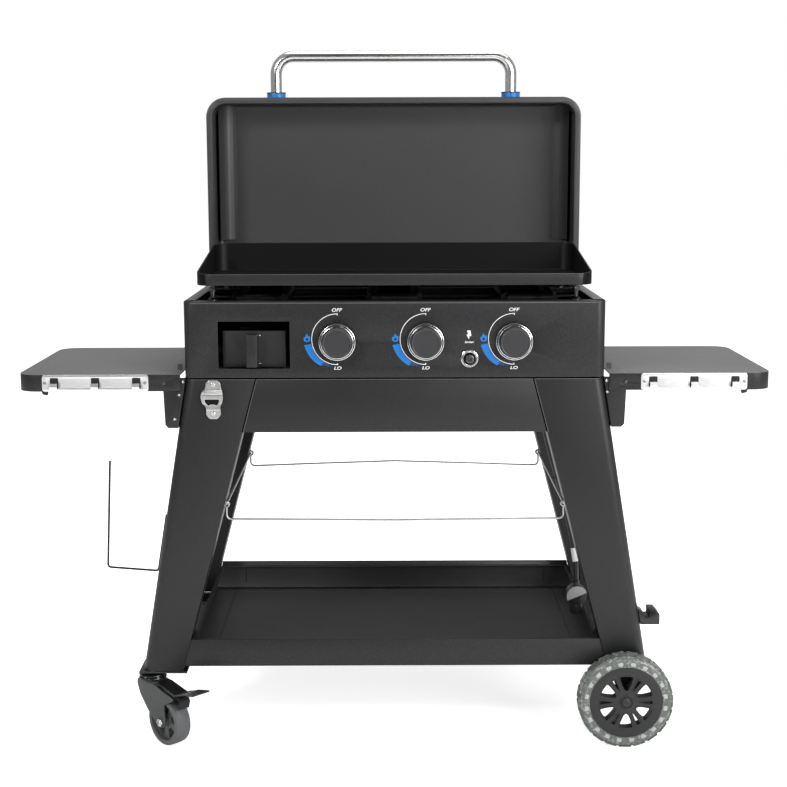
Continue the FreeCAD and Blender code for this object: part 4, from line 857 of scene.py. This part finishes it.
# A deep black ring around the button is painted shade for its gap.
add_piece("igniter_gap_shade", gap_shade, "station", deep_black, "black_plastic")
mark_place = on_front(IGNITER[0], PANEL_FACE - PRINT / 2, IGNITER[1])
marks = [
    printed([[(x * 0.95, z * 0.95 + 46) for x, z in BOLT]], mark_place),
    lettering("Igniter", 18, 5.4, mark_place @ shifted(0, 31.5, 0)),
]
add_piece("igniter_marks", marks, "station", white_print, "brass")
print("igniter at", IGNITER)

# %% [markdown]
# The bottle opener is a small iron casting: two flat lobes with a screw each, and a belly between
# them that stands away from the leg so that a crown cap fits under its tooth. It starts as a flat
# stamping, is remeshed so that it has points inside its outline, and is then pushed forward.

# %% Bottle opener
OPENER_OUTLINE = [
    (-369, 722), (-368, 733), (-361, 739), (-346, 739), (-339, 733), (-338, 722), (-334.5, 717),
    (-333.5, 706),
    (-335, 696), (-339.5, 686), (-339.5, 670), (-346, 662), (-361, 662), (-368, 670), (-368, 686),
    (-375, 697),
    (-377, 707), (-376, 717),
]
BELLY = 11
OPENER_MOUTH = [
    (-370, 702.5), (-341, 702.5), (-342.5, 695), (-347, 689.5), (-350, 692.5), (-358.5, 692.5),
    (-362, 689.5),
    (-367, 695),
]


def belly(z):
    """How far the opener stands out at a height, in millimetres."""
    return BELLY * max(0, min(1, (720 - z) / 8, (z - 680) / 14))


def make_opener():
    outlines = [round_corners(OPENER_OUTLINE, 7), round_corners(OPENER_MOUTH, 1.2)]
    flat = stamp(outlines, 3, 0.6, on_front(0, -274.6, 0))
    piece = add_piece("opener_casting", flat, "station", cast_bright, "bright_steel")
    remesh = piece.modifiers.new("remesh", "REMESH")
    remesh.mode = "VOXEL"
    remesh.voxel_size = 0.75 * MM
    mesh = apply_modifiers(piece)
    for vertex in mesh.vertices:
        vertex.co.y -= belly(vertex.co.z / MM) * MM
    soft = piece.modifiers.new("soft", "SMOOTH")
    soft.factor = 0.5
    soft.iterations = 4
    smooth(apply_modifiers(piece), 60)
    paint(piece, cast_bright)
    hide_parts("bottle_opener")
    return piece


opener = make_opener()
opener_screws = [screw(4.6, 2.2, on_front(x, -276, z)) for x, z in ((-353.5, 729.5), (-354, 673.5))]
add_piece("opener_screws", opener_screws, "station", chrome, "bright_steel")
print("opener faces:", len(opener.data.polygons))

# %% [markdown]
# A hook strip is one stamping: three windows are punched and the metal from each is bent out and up
# as a hook, so the hooks are exactly as wide as their windows. The left strip is drawn, and the
# right one is its mirror image.

# %% Hook strips
STRIP_FACE = -268
HOOK_CENTRES = (-503.5, -583.5, -663.5)
HOOK_HALF = 7.2
HOOK_PROFILE = [(-268.4, 722.5), (-271, 721.6), (-275.5, 720.4), (-277.6, 722), (-278, 726), (-277.4, 733)]


def hook(x):
    """One bent tongue that follows its profile from the plate out and up."""
    rows = [(y, z, HOOK_HALF) for y, z in HOOK_PROFILE]
    return ribbon(rows, 1.1, shifted(x, 0, 0) @ Matrix.Rotation(QUARTER_TURN, 4, "Z"), 2)


def make_hook_strip(name, side):
    body = f"shelf_{name}"
    plate = round_corners([(-687, 716.4), (-480, 716.4), (-480, 749), (-687, 749)], 6)
    windows = []
    for x in HOOK_CENTRES:
        corners = [(x - 8.2, 721.5), (x + 8.2, 721.5), (x + 8.2, 743), (x - 8.2, 743)]
        windows.append(round_corners(corners, 2.2))
    strip = [stamp([plate] + windows, 1.6, 0.4, on_front(0, STRIP_FACE - 0.8, 0))]
    strip += [hook(x) for x in HOOK_CENTRES]
    add_mirrored(f"hooks_{name}", strip, side, body, bright, "bright_steel", f"hook_strip_{name}")
    heads = [screw(3.4, 1.8, on_front(x, STRIP_FACE - 1.6, 733)) for x in (-681.5, -486.5)]
    add_mirrored(f"hooks_{name}_screws", heads, side, body, plated, "galvanised")
    # Black plates in the windows are painted shade for the openings behind the hooks.
    window_shades = [stamp([window], 0.4, 0.05, on_front(0, STRIP_FACE - 0.25, 0)) for window in windows]
    add_mirrored(f"hooks_{name}_backs", window_shades, side, body, deep_black, "powder_coat")


for name, side in SIDES:
    make_hook_strip(name, side)
print("hooks on each strip:", len(HOOK_CENTRES))

# %% [markdown]
# Wires run between the legs, front and rear. On the real cart each wire ends in a small eyelet round
# a screw and drops a little before it crosses. The front wire sags and the rear one arches by a few
# millimetres, which is too little to notice and enough to keep them from looking ruled.

# %% Spreader wires
WIRE_X = 334.6
WIRE_Y = 255
EYELET_HEIGHT = 487


def cross_wire(y, middle):
    ends = [(-WIRE_X, y, EYELET_HEIGHT - 4), (-WIRE_X, y, 462), (-WIRE_X + 6, y, 456.6)]
    points = ends + [(-170, y, (middle + 457) / 2), (0, y, middle), (170, y, (middle + 457) / 2)]
    points += [(-px, py, pz) for px, py, pz in reversed(ends)]
    return bend_wire(points, 2.2, 30)


def eyelet(x, y):
    place = on_front(x, y, EYELET_HEIGHT)
    turns = [(5.2 * math.cos(a * 0.4), 5.2 * math.sin(a * 0.4), (a - 18) * 0.11) for a in range(37)]
    return bend_wire(turns, 2.1, place=place)


wire_meshes = [cross_wire(-WIRE_Y, 454), cross_wire(WIRE_Y, 467.5)]
for x in (-WIRE_X, WIRE_X):
    wire_meshes.append(bend_wire([(x, -WIRE_Y, EYELET_HEIGHT), (x, WIRE_Y, EYELET_HEIGHT)], 2.2))
    wire_meshes += [eyelet(x, y) for y in (-WIRE_Y, WIRE_Y)]
add_piece("spreader_set", wire_meshes, "station", zinc, "zinc_wire", "spreader_wires")
print("wires:", len(wire_meshes))

# %% [markdown]
# The gas hose is a free cord: it leaves the fitting under the box, swings out past the leg and ends
# in the regulator, which hangs on it. Its line is a spline whose control points are the chosen
# route, so every bend is smooth without any point being rounded by hand.

# %% Gas hose
HOSE_ROUTE = [
    (314, -23, 707.7), (314, -23, 652), (319, -26, 587), (337, -33, 522), (356, -43, 458), (370, -54, 398),
    (380, -65, 345), (386, -73, 306), (386, -73, 276.3),
]


def route_curve(thickness=0):
    curve = new_curve(thickness, 5)
    curve.dimensions = "3D"
    curve.resolution_u = 16
    spline = curve.splines.new("NURBS")
    spline.points.add(len(HOSE_ROUTE) - 1)
    for target, point in zip(spline.points, HOSE_ROUTE):
        target.co = (*spot(*point), 1)
    spline.order_u = 3
    spline.use_endpoint_u = True
    return curve


def line_points(low, high):
    """Points of the hose's own line between two heights, in millimetres."""
    holder = put_in_scene("line", route_curve())
    points = [tuple(vertex.co / MM) for vertex in shown_mesh(holder).vertices]
    bpy.data.objects.remove(holder)
    return [point for point in points if low < point[2] < high]


line = route_curve(5)
hose = add_piece("gas_hose_line", line, "station", hose_black, "hose_rubber", "gas_hose")
sleeve_mesh = bend_wire(line_points(316, 346), 6.7)
sleeve = add_piece("hose_sleeve", sleeve_mesh, "station", sleeve_white, "galvanised")
RELIEF = [(5.2, 0), (6.6, 0), (6.6, 10), (6.2, 12), (5.9, 30), (5.3, 32), (5.2, 0)]
relief_mesh = lathe(RELIEF, pointing(*HOSE_ROUTE[0], (0, 0, -1)), 32)
relief = add_piece("hose_relief", relief_mesh, "station", black_plastic, "black_plastic")
print("hose points:", len(HOSE_ROUTE))

# %% [markdown]
# The regulator is a cast drum with a hose barb above and a big hand nut below. Ribs on the nut are
# what tell a hand nut from a pipe, so it is a stamped star rather than a turned disc.

# %% Regulator
REGULATOR = (386, -73, 245)
NUT_MIDDLE = (386, -73, 218)
DRUM_OUTLINE = [
    (0, 15.4), (12, 15.4), (14, 14.2), (19.4, 13.4), (20.6, 12), (20.8, 3), (19.6, 2), (19.6, -2),
    (20.8, -3),
    (20.8, -12), (19, -15), (0, -15),
]
BARB_OUTLINE = [(0, 15), (8, 15), (8, 20), (6.8, 22), (6.8, 29), (7.4, 30), (5.2, 31), (0, 31)]
star = [on_circle(12.6 if step % 2 else 11.4, step * 7.5) for step in range(48)]
drum = lathe(DRUM_OUTLINE, on_front(*REGULATOR), 64)
barb = lathe(BARB_OUTLINE, shifted(*REGULATOR), 40)
hand_nut = stamp([star], 29, 1, shifted(*NUT_MIDDLE))
cast = [drum, barb, hand_nut]
regulator = add_piece("regulator_body", cast, "station", black_plastic, "black_plastic", "regulator")
fan = ring_points(22.5, start=23, sweep=180, steps=28)
fan_mesh = stamp([round_corners(fan, 1)], 2.4, 0.5, on_front(387, -88.6, 243))
label = add_piece("regulator_cap", fan_mesh, "station", grey_plastic, "grey_plastic")
print("regulator at", REGULATOR)

# %% [markdown]
# A wheel is three things: a dark moulded web with windows and thin beads, a rim barrel behind it,
# and a clear grey tyre with pale blocks in its side and lugs on its tread. The web is stamped flat
# because it is flat; its beads are wires laid along the window edges.

# %% Wheel shapes
WHEEL_X = 458
WHEEL_Y = 298
AXLE_HEIGHT = 95
WEB_FACE = 18
WEB_THICK = 24
SPOKES = 6
LUGS = 20
LUG_STEP = 360 / LUGS
TYRE_OUTLINE = [
    (72.8, 18.6), (74.4, 18.9), (75.6, 18.2), (77, 18.5), (82.4, 18.5), (83.6, 18.9), (85.6, 18.6),
    (89.4, 16.6),
    (93.2, 12.5), (93.2, -12.5), (89.4, -16.6), (85.6, -18.6), (74.4, -18.9), (72.8, -18.6), (72.8, 18.6),
]
BARREL_OUTLINE = [
    (72.7, 17.8), (72.7, -18.8), (69.4, -18.8), (67, -12), (66.4, 0), (66.4, 12), (67.6, 17.8),
    (72.7, 17.8),
]
HUB_OUTLINE = [
    (6.3, -19), (16, -19), (17.5, -5), (17.5, 17), (13.6, 18), (13.4, 18.9), (12.7, 19), (12.3, 18),
    (12, 15), (6.3, 15),
    (6.3, -19),
]


def wide_window():
    sides = [(4.4, 25.4), (8.8, 34), (12, 42.5), (13.9, 50)]
    arc = ring_points(54.4, start=75.5, sweep=29, steps=8)
    outline = [(0, 22.4)] + sides + arc + [(-x, y) for x, y in reversed(sides)]
    return round_corners(outline, 2.2, steps=2)


def narrow_window():
    return round_corners([(-1.2, 26), (1.2, 26), (4.9, 52.8), (-4.9, 52.8)], 1, steps=2)


def turned_by(points, degrees):
    turn = Matrix.Rotation(math.radians(degrees), 2)
    return [tuple(turn @ Vector(point[:2])) for point in points]


def wheel_windows():
    found = []
    for spoke in range(SPOKES):
        found.append(turned_by(wide_window(), spoke * 60))
        found.append(turned_by(narrow_window(), spoke * 60 + 30))
    return found


# %% Tyre lugs
def lugs(place):
    """Two staggered rows of tread blocks, narrower at the top than at the root."""
    work = bmesh.new()
    for row, (near, far) in enumerate(((1.2, 15.5), (-15.5, -1.2))):
        for step in range(LUGS):
            middle = (step + row / 2) * LUG_STEP
            rings = []
            for radius, spread, trim in ((92.6, 7.6, 0), (94.9, 6.8, 0.6)):
                low, high = near + trim, far - trim
                corners = ((-spread, low), (spread, low), (spread, high), (-spread, high))
                places = [spot(*on_circle(radius, middle + turn), along) for turn, along in corners]
                rings.append([work.verts.new(point) for point in places])
            skin_rings(work, rings)
            work.faces.new(rings[1])
            work.faces.new(rings[0][::-1])
    return finish_mesh(work, place)


def side_blocks(place):
    """Pale rounded squares moulded into the tyre's side."""
    square = round_corners([(-4.6, 75.4), (4.6, 75.4), (4.9, 83.4), (-4.9, 83.4)], 2, steps=3)
    face = place @ shifted(0, 0, 18.3)
    squares = [turned_by(square, (step + 0.5) * LUG_STEP) for step in range(LUGS)]
    return [stamp([outline], 0.7, 0.25, face) for outline in squares]


# %% Wheels
def make_wheel(end, side):
    body = f"wheel_{end}"
    place = on_front(WHEEL_X, -WHEEL_Y * side, AXLE_HEIGHT, side)
    face = place @ shifted(0, 0, WEB_FACE)
    windows = wheel_windows()
    outlines = [ring_points(72.4, steps=96)] + windows
    rim = [stamp(outlines, WEB_THICK, 0.9, face @ shifted(0, 0, -WEB_THICK / 2))]
    rim += [bend_wire(window, 1.1, closed=True, place=face) for window in windows]
    rim += [lathe(outline, place, 96) for outline in (BARREL_OUTLINE, HUB_OUTLINE)]
    add_piece(f"{body}_rim", rim, body, dark_rim, "black_plastic", f"wheel_rim_{end}")
    tyre = [lathe(TYRE_OUTLINE, place, 120), lugs(place)]
    add_piece(f"{body}_tyre", tyre, body, clear_tyre, "tyre_grey", f"wheel_tyre_{end}")
    add_piece(f"{body}_blocks", side_blocks(place), body, tyre_block, "tyre_grey")


for end, side in ENDS:
    make_wheel(end, side)
AXLE_HALF = [
    (0, 321), (5.4, 320.6), (8.6, 319.4), (10.2, 317.2), (10.4, 315), (6, 315), (6, 279), (9.4, 278.6),
    (9.4, 271.5), (6, 271.5),
]
axle_outline = AXLE_HALF + [(radius, -along) for radius, along in reversed(AXLE_HALF)]
axle = lathe(axle_outline, on_front(WHEEL_X, 0, AXLE_HEIGHT), 48)
add_piece("axle_bar", axle, "station", dark_rim, "galvanised", "wheel_axle")
print("wheels:", len(ENDS))

# %% [markdown]
# Each caster swivels, so its pieces are drawn in the caster's own frame: X along the trail, Z up.
# The fork is a folded steel stamping, the wheel has a pale ring and a spoked core, and the brake
# pedal is one long ribbon of plate that widens at its end.

# %% Caster frame
CASTER_X, CASTER_Y, CASTER_YAW = -492, -244.3, -45
TRAIL, CASTER_AXLE = 52, 49


def caster_place(side):
    return shifted(CASTER_X, CASTER_Y * side, 0) @ Matrix.Rotation(math.radians(CASTER_YAW * side), 4, "Z")


# %% Caster fork
ARM_OUTLINE = [
    (-25, 123), (-26, 112), (-17, 92), (8, 64), (36, 42), (46, 37.5), (56, 38), (64, 44), (65, 54),
    (62, 78), (64, 88),
    (78, 96), (92, 103), (90, 108), (60, 114), (30, 122.5),
]
RACE_OUTLINES = [
    [(4.4, 137.6), (24, 137.6), (27.4, 136.4), (28, 134.6), (27.2, 132.8), (22, 132.2), (4.4, 132.2)],
    [(4.4, 131.6), (22, 131.6), (27, 130.4), (27.9, 128.4), (27, 126.2), (22, 125.2), (4.4, 125.2)],
]
SADDLE = [(-24, 114, 15), (-24.5, 121.4, 18), (-18, 122.4, 19), (23, 122.4, 19), (29, 120, 19)]


def make_fork(end, side):
    body = f"swivel_{end}"
    place = caster_place(side)
    arm = round_corners(ARM_OUTLINE, 7)
    arms = [stamp([arm], 3, 0.6, place @ on_front(0, across, 0)) for across in (-19.6, 19.6)]
    arms.append(ribbon(SADDLE, 2.4, place, 5))
    add_piece(f"{body}_fork", arms, body, fork_grey, "black_plastic", f"caster_fork_{end}")
    races = [lathe(outline + outline[:1], place) for outline in RACE_OUTLINES]
    add_piece(f"{body}_races", races, body, black_gloss, "black_plastic")
    studs = [screw(3, 3.4, place @ shifted(*on_circle(22.5, angle), 131.4)) for angle in (-10, -75, 50, 115)]
    for across, direction in ((-21.2, -1), (21.2, 1)):
        axle_end = place @ pointing(TRAIL, across, CASTER_AXLE, (0, direction, 0))
        studs += [nut(15, 5, axle_end), screw(5, 8, axle_end)]
    add_piece(f"{body}_studs", studs, body, chrome, "bright_steel")


for end, side in ENDS:
    make_fork(end, side)
print("forks at", CASTER_X, CASTER_Y)

# %% Caster wheels
CASTER_TYRE = [
    (38.6, 16.8), (40, 17.2), (45.4, 17.2), (47.6, 16), (48.6, 14), (48.2, 10.4), (49, 9), (49, -9),
    (48.2, -10.4),
    (48.6, -14), (47.6, -16), (45.4, -17.2), (40, -17.2), (38.6, -16.8), (38.6, 16.8),
]
CASTER_HUB = [
    (4.3, 15.6), (8.4, 15.6), (10.4, 14), (11.4, 8), (11.4, -8), (10.4, -14), (8.4, -15.6), (4.3, -15.6),
    (4.3, 15.6),
]
CORE_WINDOW = [(-5, 17), (5, 17), (12.4, 32.4), (0, 34.8), (-12.4, 32.4)]
CORE_LIP = [(36.4, 8), (38.8, 8), (38.8, 16), (37.6, 16), (36.4, 8)]


def make_roller(end, side):
    body = f"roller_{end}"
    place = caster_place(side) @ on_front(TRAIL, 0, CASTER_AXLE)
    tread = lathe(CASTER_TYRE, place, 96)
    add_piece(f"{body}_tread", tread, body, tread_grey, "caster_grey", f"caster_wheel_{end}")
    windows = [turned_by(round_corners(CORE_WINDOW, 2, steps=3), 72 * spoke) for spoke in range(5)]
    core = [stamp([ring_points(38.8, steps=72)] + windows, 17, 0.8, place)]
    core.append(lathe(CASTER_HUB, place, 48))
    for flip in (Matrix(), Matrix.Rotation(HALF_TURN, 4, "X")):
        core.append(lathe(CORE_LIP, place @ flip, 72))
    add_piece(f"{body}_core", core, body, core_grey, "caster_grey")


for end, side in ENDS:
    make_roller(end, side)
print("casters:", 2)

# %% Brake pedals
PEDAL_TOP = [
    (31.5, 123, 13), (41, 122.4, 16), (93, 112, 16), (110, 118, 17), (128, 124, 19), (157.6, 129.6, 21.5),
]
PEDAL_TONGUE = [(70, 114.4, 11), (98, 106.5, 12), (103, 100, 12), (99, 86, 12)]
CHEEK_OUTLINE = [(19, 119.4), (34, 119.4), (40, 122), (94, 112), (92, 105), (60, 109), (19, 113)]


def make_pedal(end, side):
    body = f"pedal_{end}"
    place = caster_place(side)
    cheek = round_corners(CHEEK_OUTLINE, 2)
    plates = [ribbon(PEDAL_TOP, 3, place, 6)]
    plates += [stamp([cheek], 2, 0.4, place @ on_front(0, across, 0)) for across in (-15.4, 15.4)]
    add_piece(f"{body}_plate", plates, body, black_gloss, "black_plastic", f"caster_pedal_{end}")
    grips = [ribbon(PEDAL_TONGUE, 3, place, 4)]
    for step in range(3):
        rows = [(along + step * 8, up + step * 2.2, 14) for along, up in ((106, 118.6), (109, 119.4))]
        grips.append(ribbon(rows, 2.2, place, 0.4))
    add_piece(f"{body}_tongue", grips, body, deep_black, "black_plastic")


for end, side in ENDS:
    make_pedal(end, side)
print("pedals:", 2)

# %% [markdown]
# Under the griddle sit dark bolts with locked nuts, which set its height. They are small, but they
# are what the gap between box and griddle shows, so each has its disc, washer, nut and stud.

# %% Griddle feet
FOOT_OUTLINE = [
    (0, 0.2), (8.8, 0.2), (8.8, 3.2), (7.4, 5), (4.6, 6.4), (4, 7), (4, 19), (7.6, 19), (7.6, 20.4),
    (4, 20.4), (4, 30.8),
    (0, 30.8),
]
feet = []
for x in (-355, 355):
    for y in (-231, 50):
        base = shifted(x, y, 889)
        feet += [lathe(FOOT_OUTLINE, base, 32), nut(13, 6, base @ shifted(0, 0, 20.6), 3.8)]
add_piece("griddle_bolts", feet, "station", dark_steel, "galvanised", "griddle_feet")
print("feet:", 4)

# %% [markdown]
# The side shelves are folded from one sheet. A crease runs across each near the box, drawn as a thin ridge
# whose pale grey is a painted highlight; a slot, drawn as a black plate of painted shade, and a pin show at the
# hinge; and a stamped tab hangs under the outer end of the hook strip.

# %% Shelf details
BRACKET_HEADS = {"left": ((-413, 734), (-421, 708), (-431, 660)), "right": ((-413, 734), (-415, 712))}
SLOT_SHADE = round_corners([(-444, -119), (-434, -119), (-421.5, -206), (-431.5, -206)], 3)
TAB = round_corners([(-689, 717), (-675, 717), (-677, 708), (-687, 710.5)], 2)

for name, side in SIDES:
    body = f"shelf_{name}"
    # The crease's pale grey is a painted highlight.
    crease = bend_wire([(-451, -264, 748.7), (-451, 141, 748.7)], 0.8)
    # The slot is a black plate of painted shade, not a cut.
    slot_shade = stamp([SLOT_SHADE], 0.3, 0.05, shifted(0, 0, 749.05))
    tab = stamp([TAB], 1.6, 0.3, on_front(0, -267, 0))
    pin = screw(3.6, 2, on_front(-450, -268.2, 732))
    heads = [screw(3, 2, on_front(x, -265.6, z)) for x, z in BRACKET_HEADS[name]]
    add_mirrored(f"crease_{name}", [crease], side, body, crease_highlight, "shelf_coat")
    add_mirrored(f"slit_{name}", [slot_shade], side, body, deep_black, "powder_coat")
    add_mirrored(f"tab_{name}", [tab], side, body, coat, "powder_coat")
    add_mirrored(f"pin_{name}", [pin], side, "station", dark_steel, "galvanised")
    add_mirrored(f"bracket_screws_{name}", heads, side, "station", chrome, "bright_steel")
print("shelf details on both sides")

# %% [markdown]
# The lid's back panel meets its sides in a wide cove, which is why the inside shows a soft bright
# band at each end. The cove is a ribbon that follows a quarter of a circle. It stops short of the
# side and of the hinge end, because the griddle's walls come there when the lid is shut.

# %% Lid coves and screws
LID_MIDDLE = 1133
COVE = 34
COVE_HALF = 147
COVE_OUT = 381.3
COVE_BACK = 186.4
rows = []
for step in range(9):
    out, back = on_circle(COVE, 90 - step * 11.25)
    rows.append((COVE_OUT - COVE + out, COVE - back - COVE_BACK, COVE_HALF))
upright = shifted(0, 0, LID_MIDDLE) @ Matrix.Rotation(QUARTER_TURN, 4, "X")
coves = [mirrored(ribbon(rows, 1, upright, 0.5), side) for side in (1, -1)]
add_piece("lid_coves", coves, "lid", lid_inner, "powder_coat")
lid_heads = []
for side in (-1, 1):
    lid_heads += [screw(3.4, 0.8, pointing(387.8 * side, 128, z, (-side, 0, 0))) for z in (1022, 1150)]
add_piece("lid_screws", lid_heads, "lid", dark_steel, "galvanised")
print("lid details")

# %% [markdown]
# The bottom shelf is pressed: a shallow line runs round its floor. It is a low ridge here, since
# only its edge catches light.

# %% Bottom shelf line and tray screws
RING_OUTLINE = [(18, 0), (20.6, 0), (20.9, 0.8), (20.6, 1.6), (18, 1.6), (18, 0)]
line = [(-372, -243, 159.4), (372, -243, 159.4), (372, 243, 159.4), (-372, 243, 159.4)]
rear_face = max(vertex.co.y for vertex in softened["bottom_shelf"].data.vertices) / MM - 2
border = [(-352, rear_face, 172), (-352, rear_face, 212), (352, rear_face, 212), (352, rear_face, 172)]
pressed = [bend_wire(line, 0.9, 30, closed=True), bend_wire(border, 0.9, 16)]
add_piece("shelf_line", pressed, "station", coat, "powder_coat")
tray_heads = [screw(2.0, 1.4, on_front(-262.5, -257, z)) for z in (824, 768.6)]
add_piece("tray_screws", tray_heads, "tray", chrome, "bright_steel")
spots = [(x, 137, z) for x in (-253, 253) for z in (1283, 1302.6)]
spacer_rings = [lathe(RING_OUTLINE, shifted(*ring_spot), 48) for ring_spot in spots]
add_piece("spacer_rings", spacer_rings, "lid", black_plastic, "black_plastic")
print("small screws")

# %% [markdown]
# Where two panels meet there is a narrow dark joint, laid as a strip of painted shadow, and beside it a pale
# strip is a painted highlight where the fold of the next panel catches the light; a pale strip along the
# panel's top fold is a painted highlight too. The joints are strips laid on the steel, so they follow the slope
# of the legs exactly.

# %% Panel joints
APRON_TOP, APRON_LOW = 742.7, 634.7
LEG_IN_TOP, LEG_IN_LOW = 270, 298.5
APRON_FACE = -273


def strips(name, outlines, face, material):
    meshes = [stamp([outline], 0.3, 0.05, on_front(0, face - 0.1, 0)) for outline in outlines]
    add_piece(name, meshes, "station", material, "powder_coat")


def slanted(side, near, far):
    """The outline of a strip along the joint between apron and leg, offset to the right."""
    x, foot_x = LEG_IN_TOP * side, LEG_IN_LOW * side
    top = APRON_TOP - 2
    return [(x + near, top), (x + far, top), (foot_x + far, APRON_LOW), (foot_x + near, APRON_LOW)]


def level(half, low, high):
    return [(-half, low), (half, low), (half, high), (-half, high)]


dark = [slanted(-1, -1.6, 1), slanted(1, -1.6, 1), level(398, APRON_TOP - 2.8, APRON_TOP)]
strips("joint_shadows", dark, APRON_FACE, joint_black)
# Pale strips beside the joints are painted highlights on the folds.
pale = [slanted(-1, 1, 2.4), slanted(1, 1, 2.4), level(398, APRON_TOP - 4, APRON_TOP - 2.8)]
strips("joint_fold_highlights", pale, APRON_FACE, shelf_coat)
# A pale strip under the panel's top edge is a painted highlight on its fold.
strips("panel_fold_highlight", [level(394, 887.4, 889.2)], PANEL_FACE, shelf_coat)
print("joints between panels")
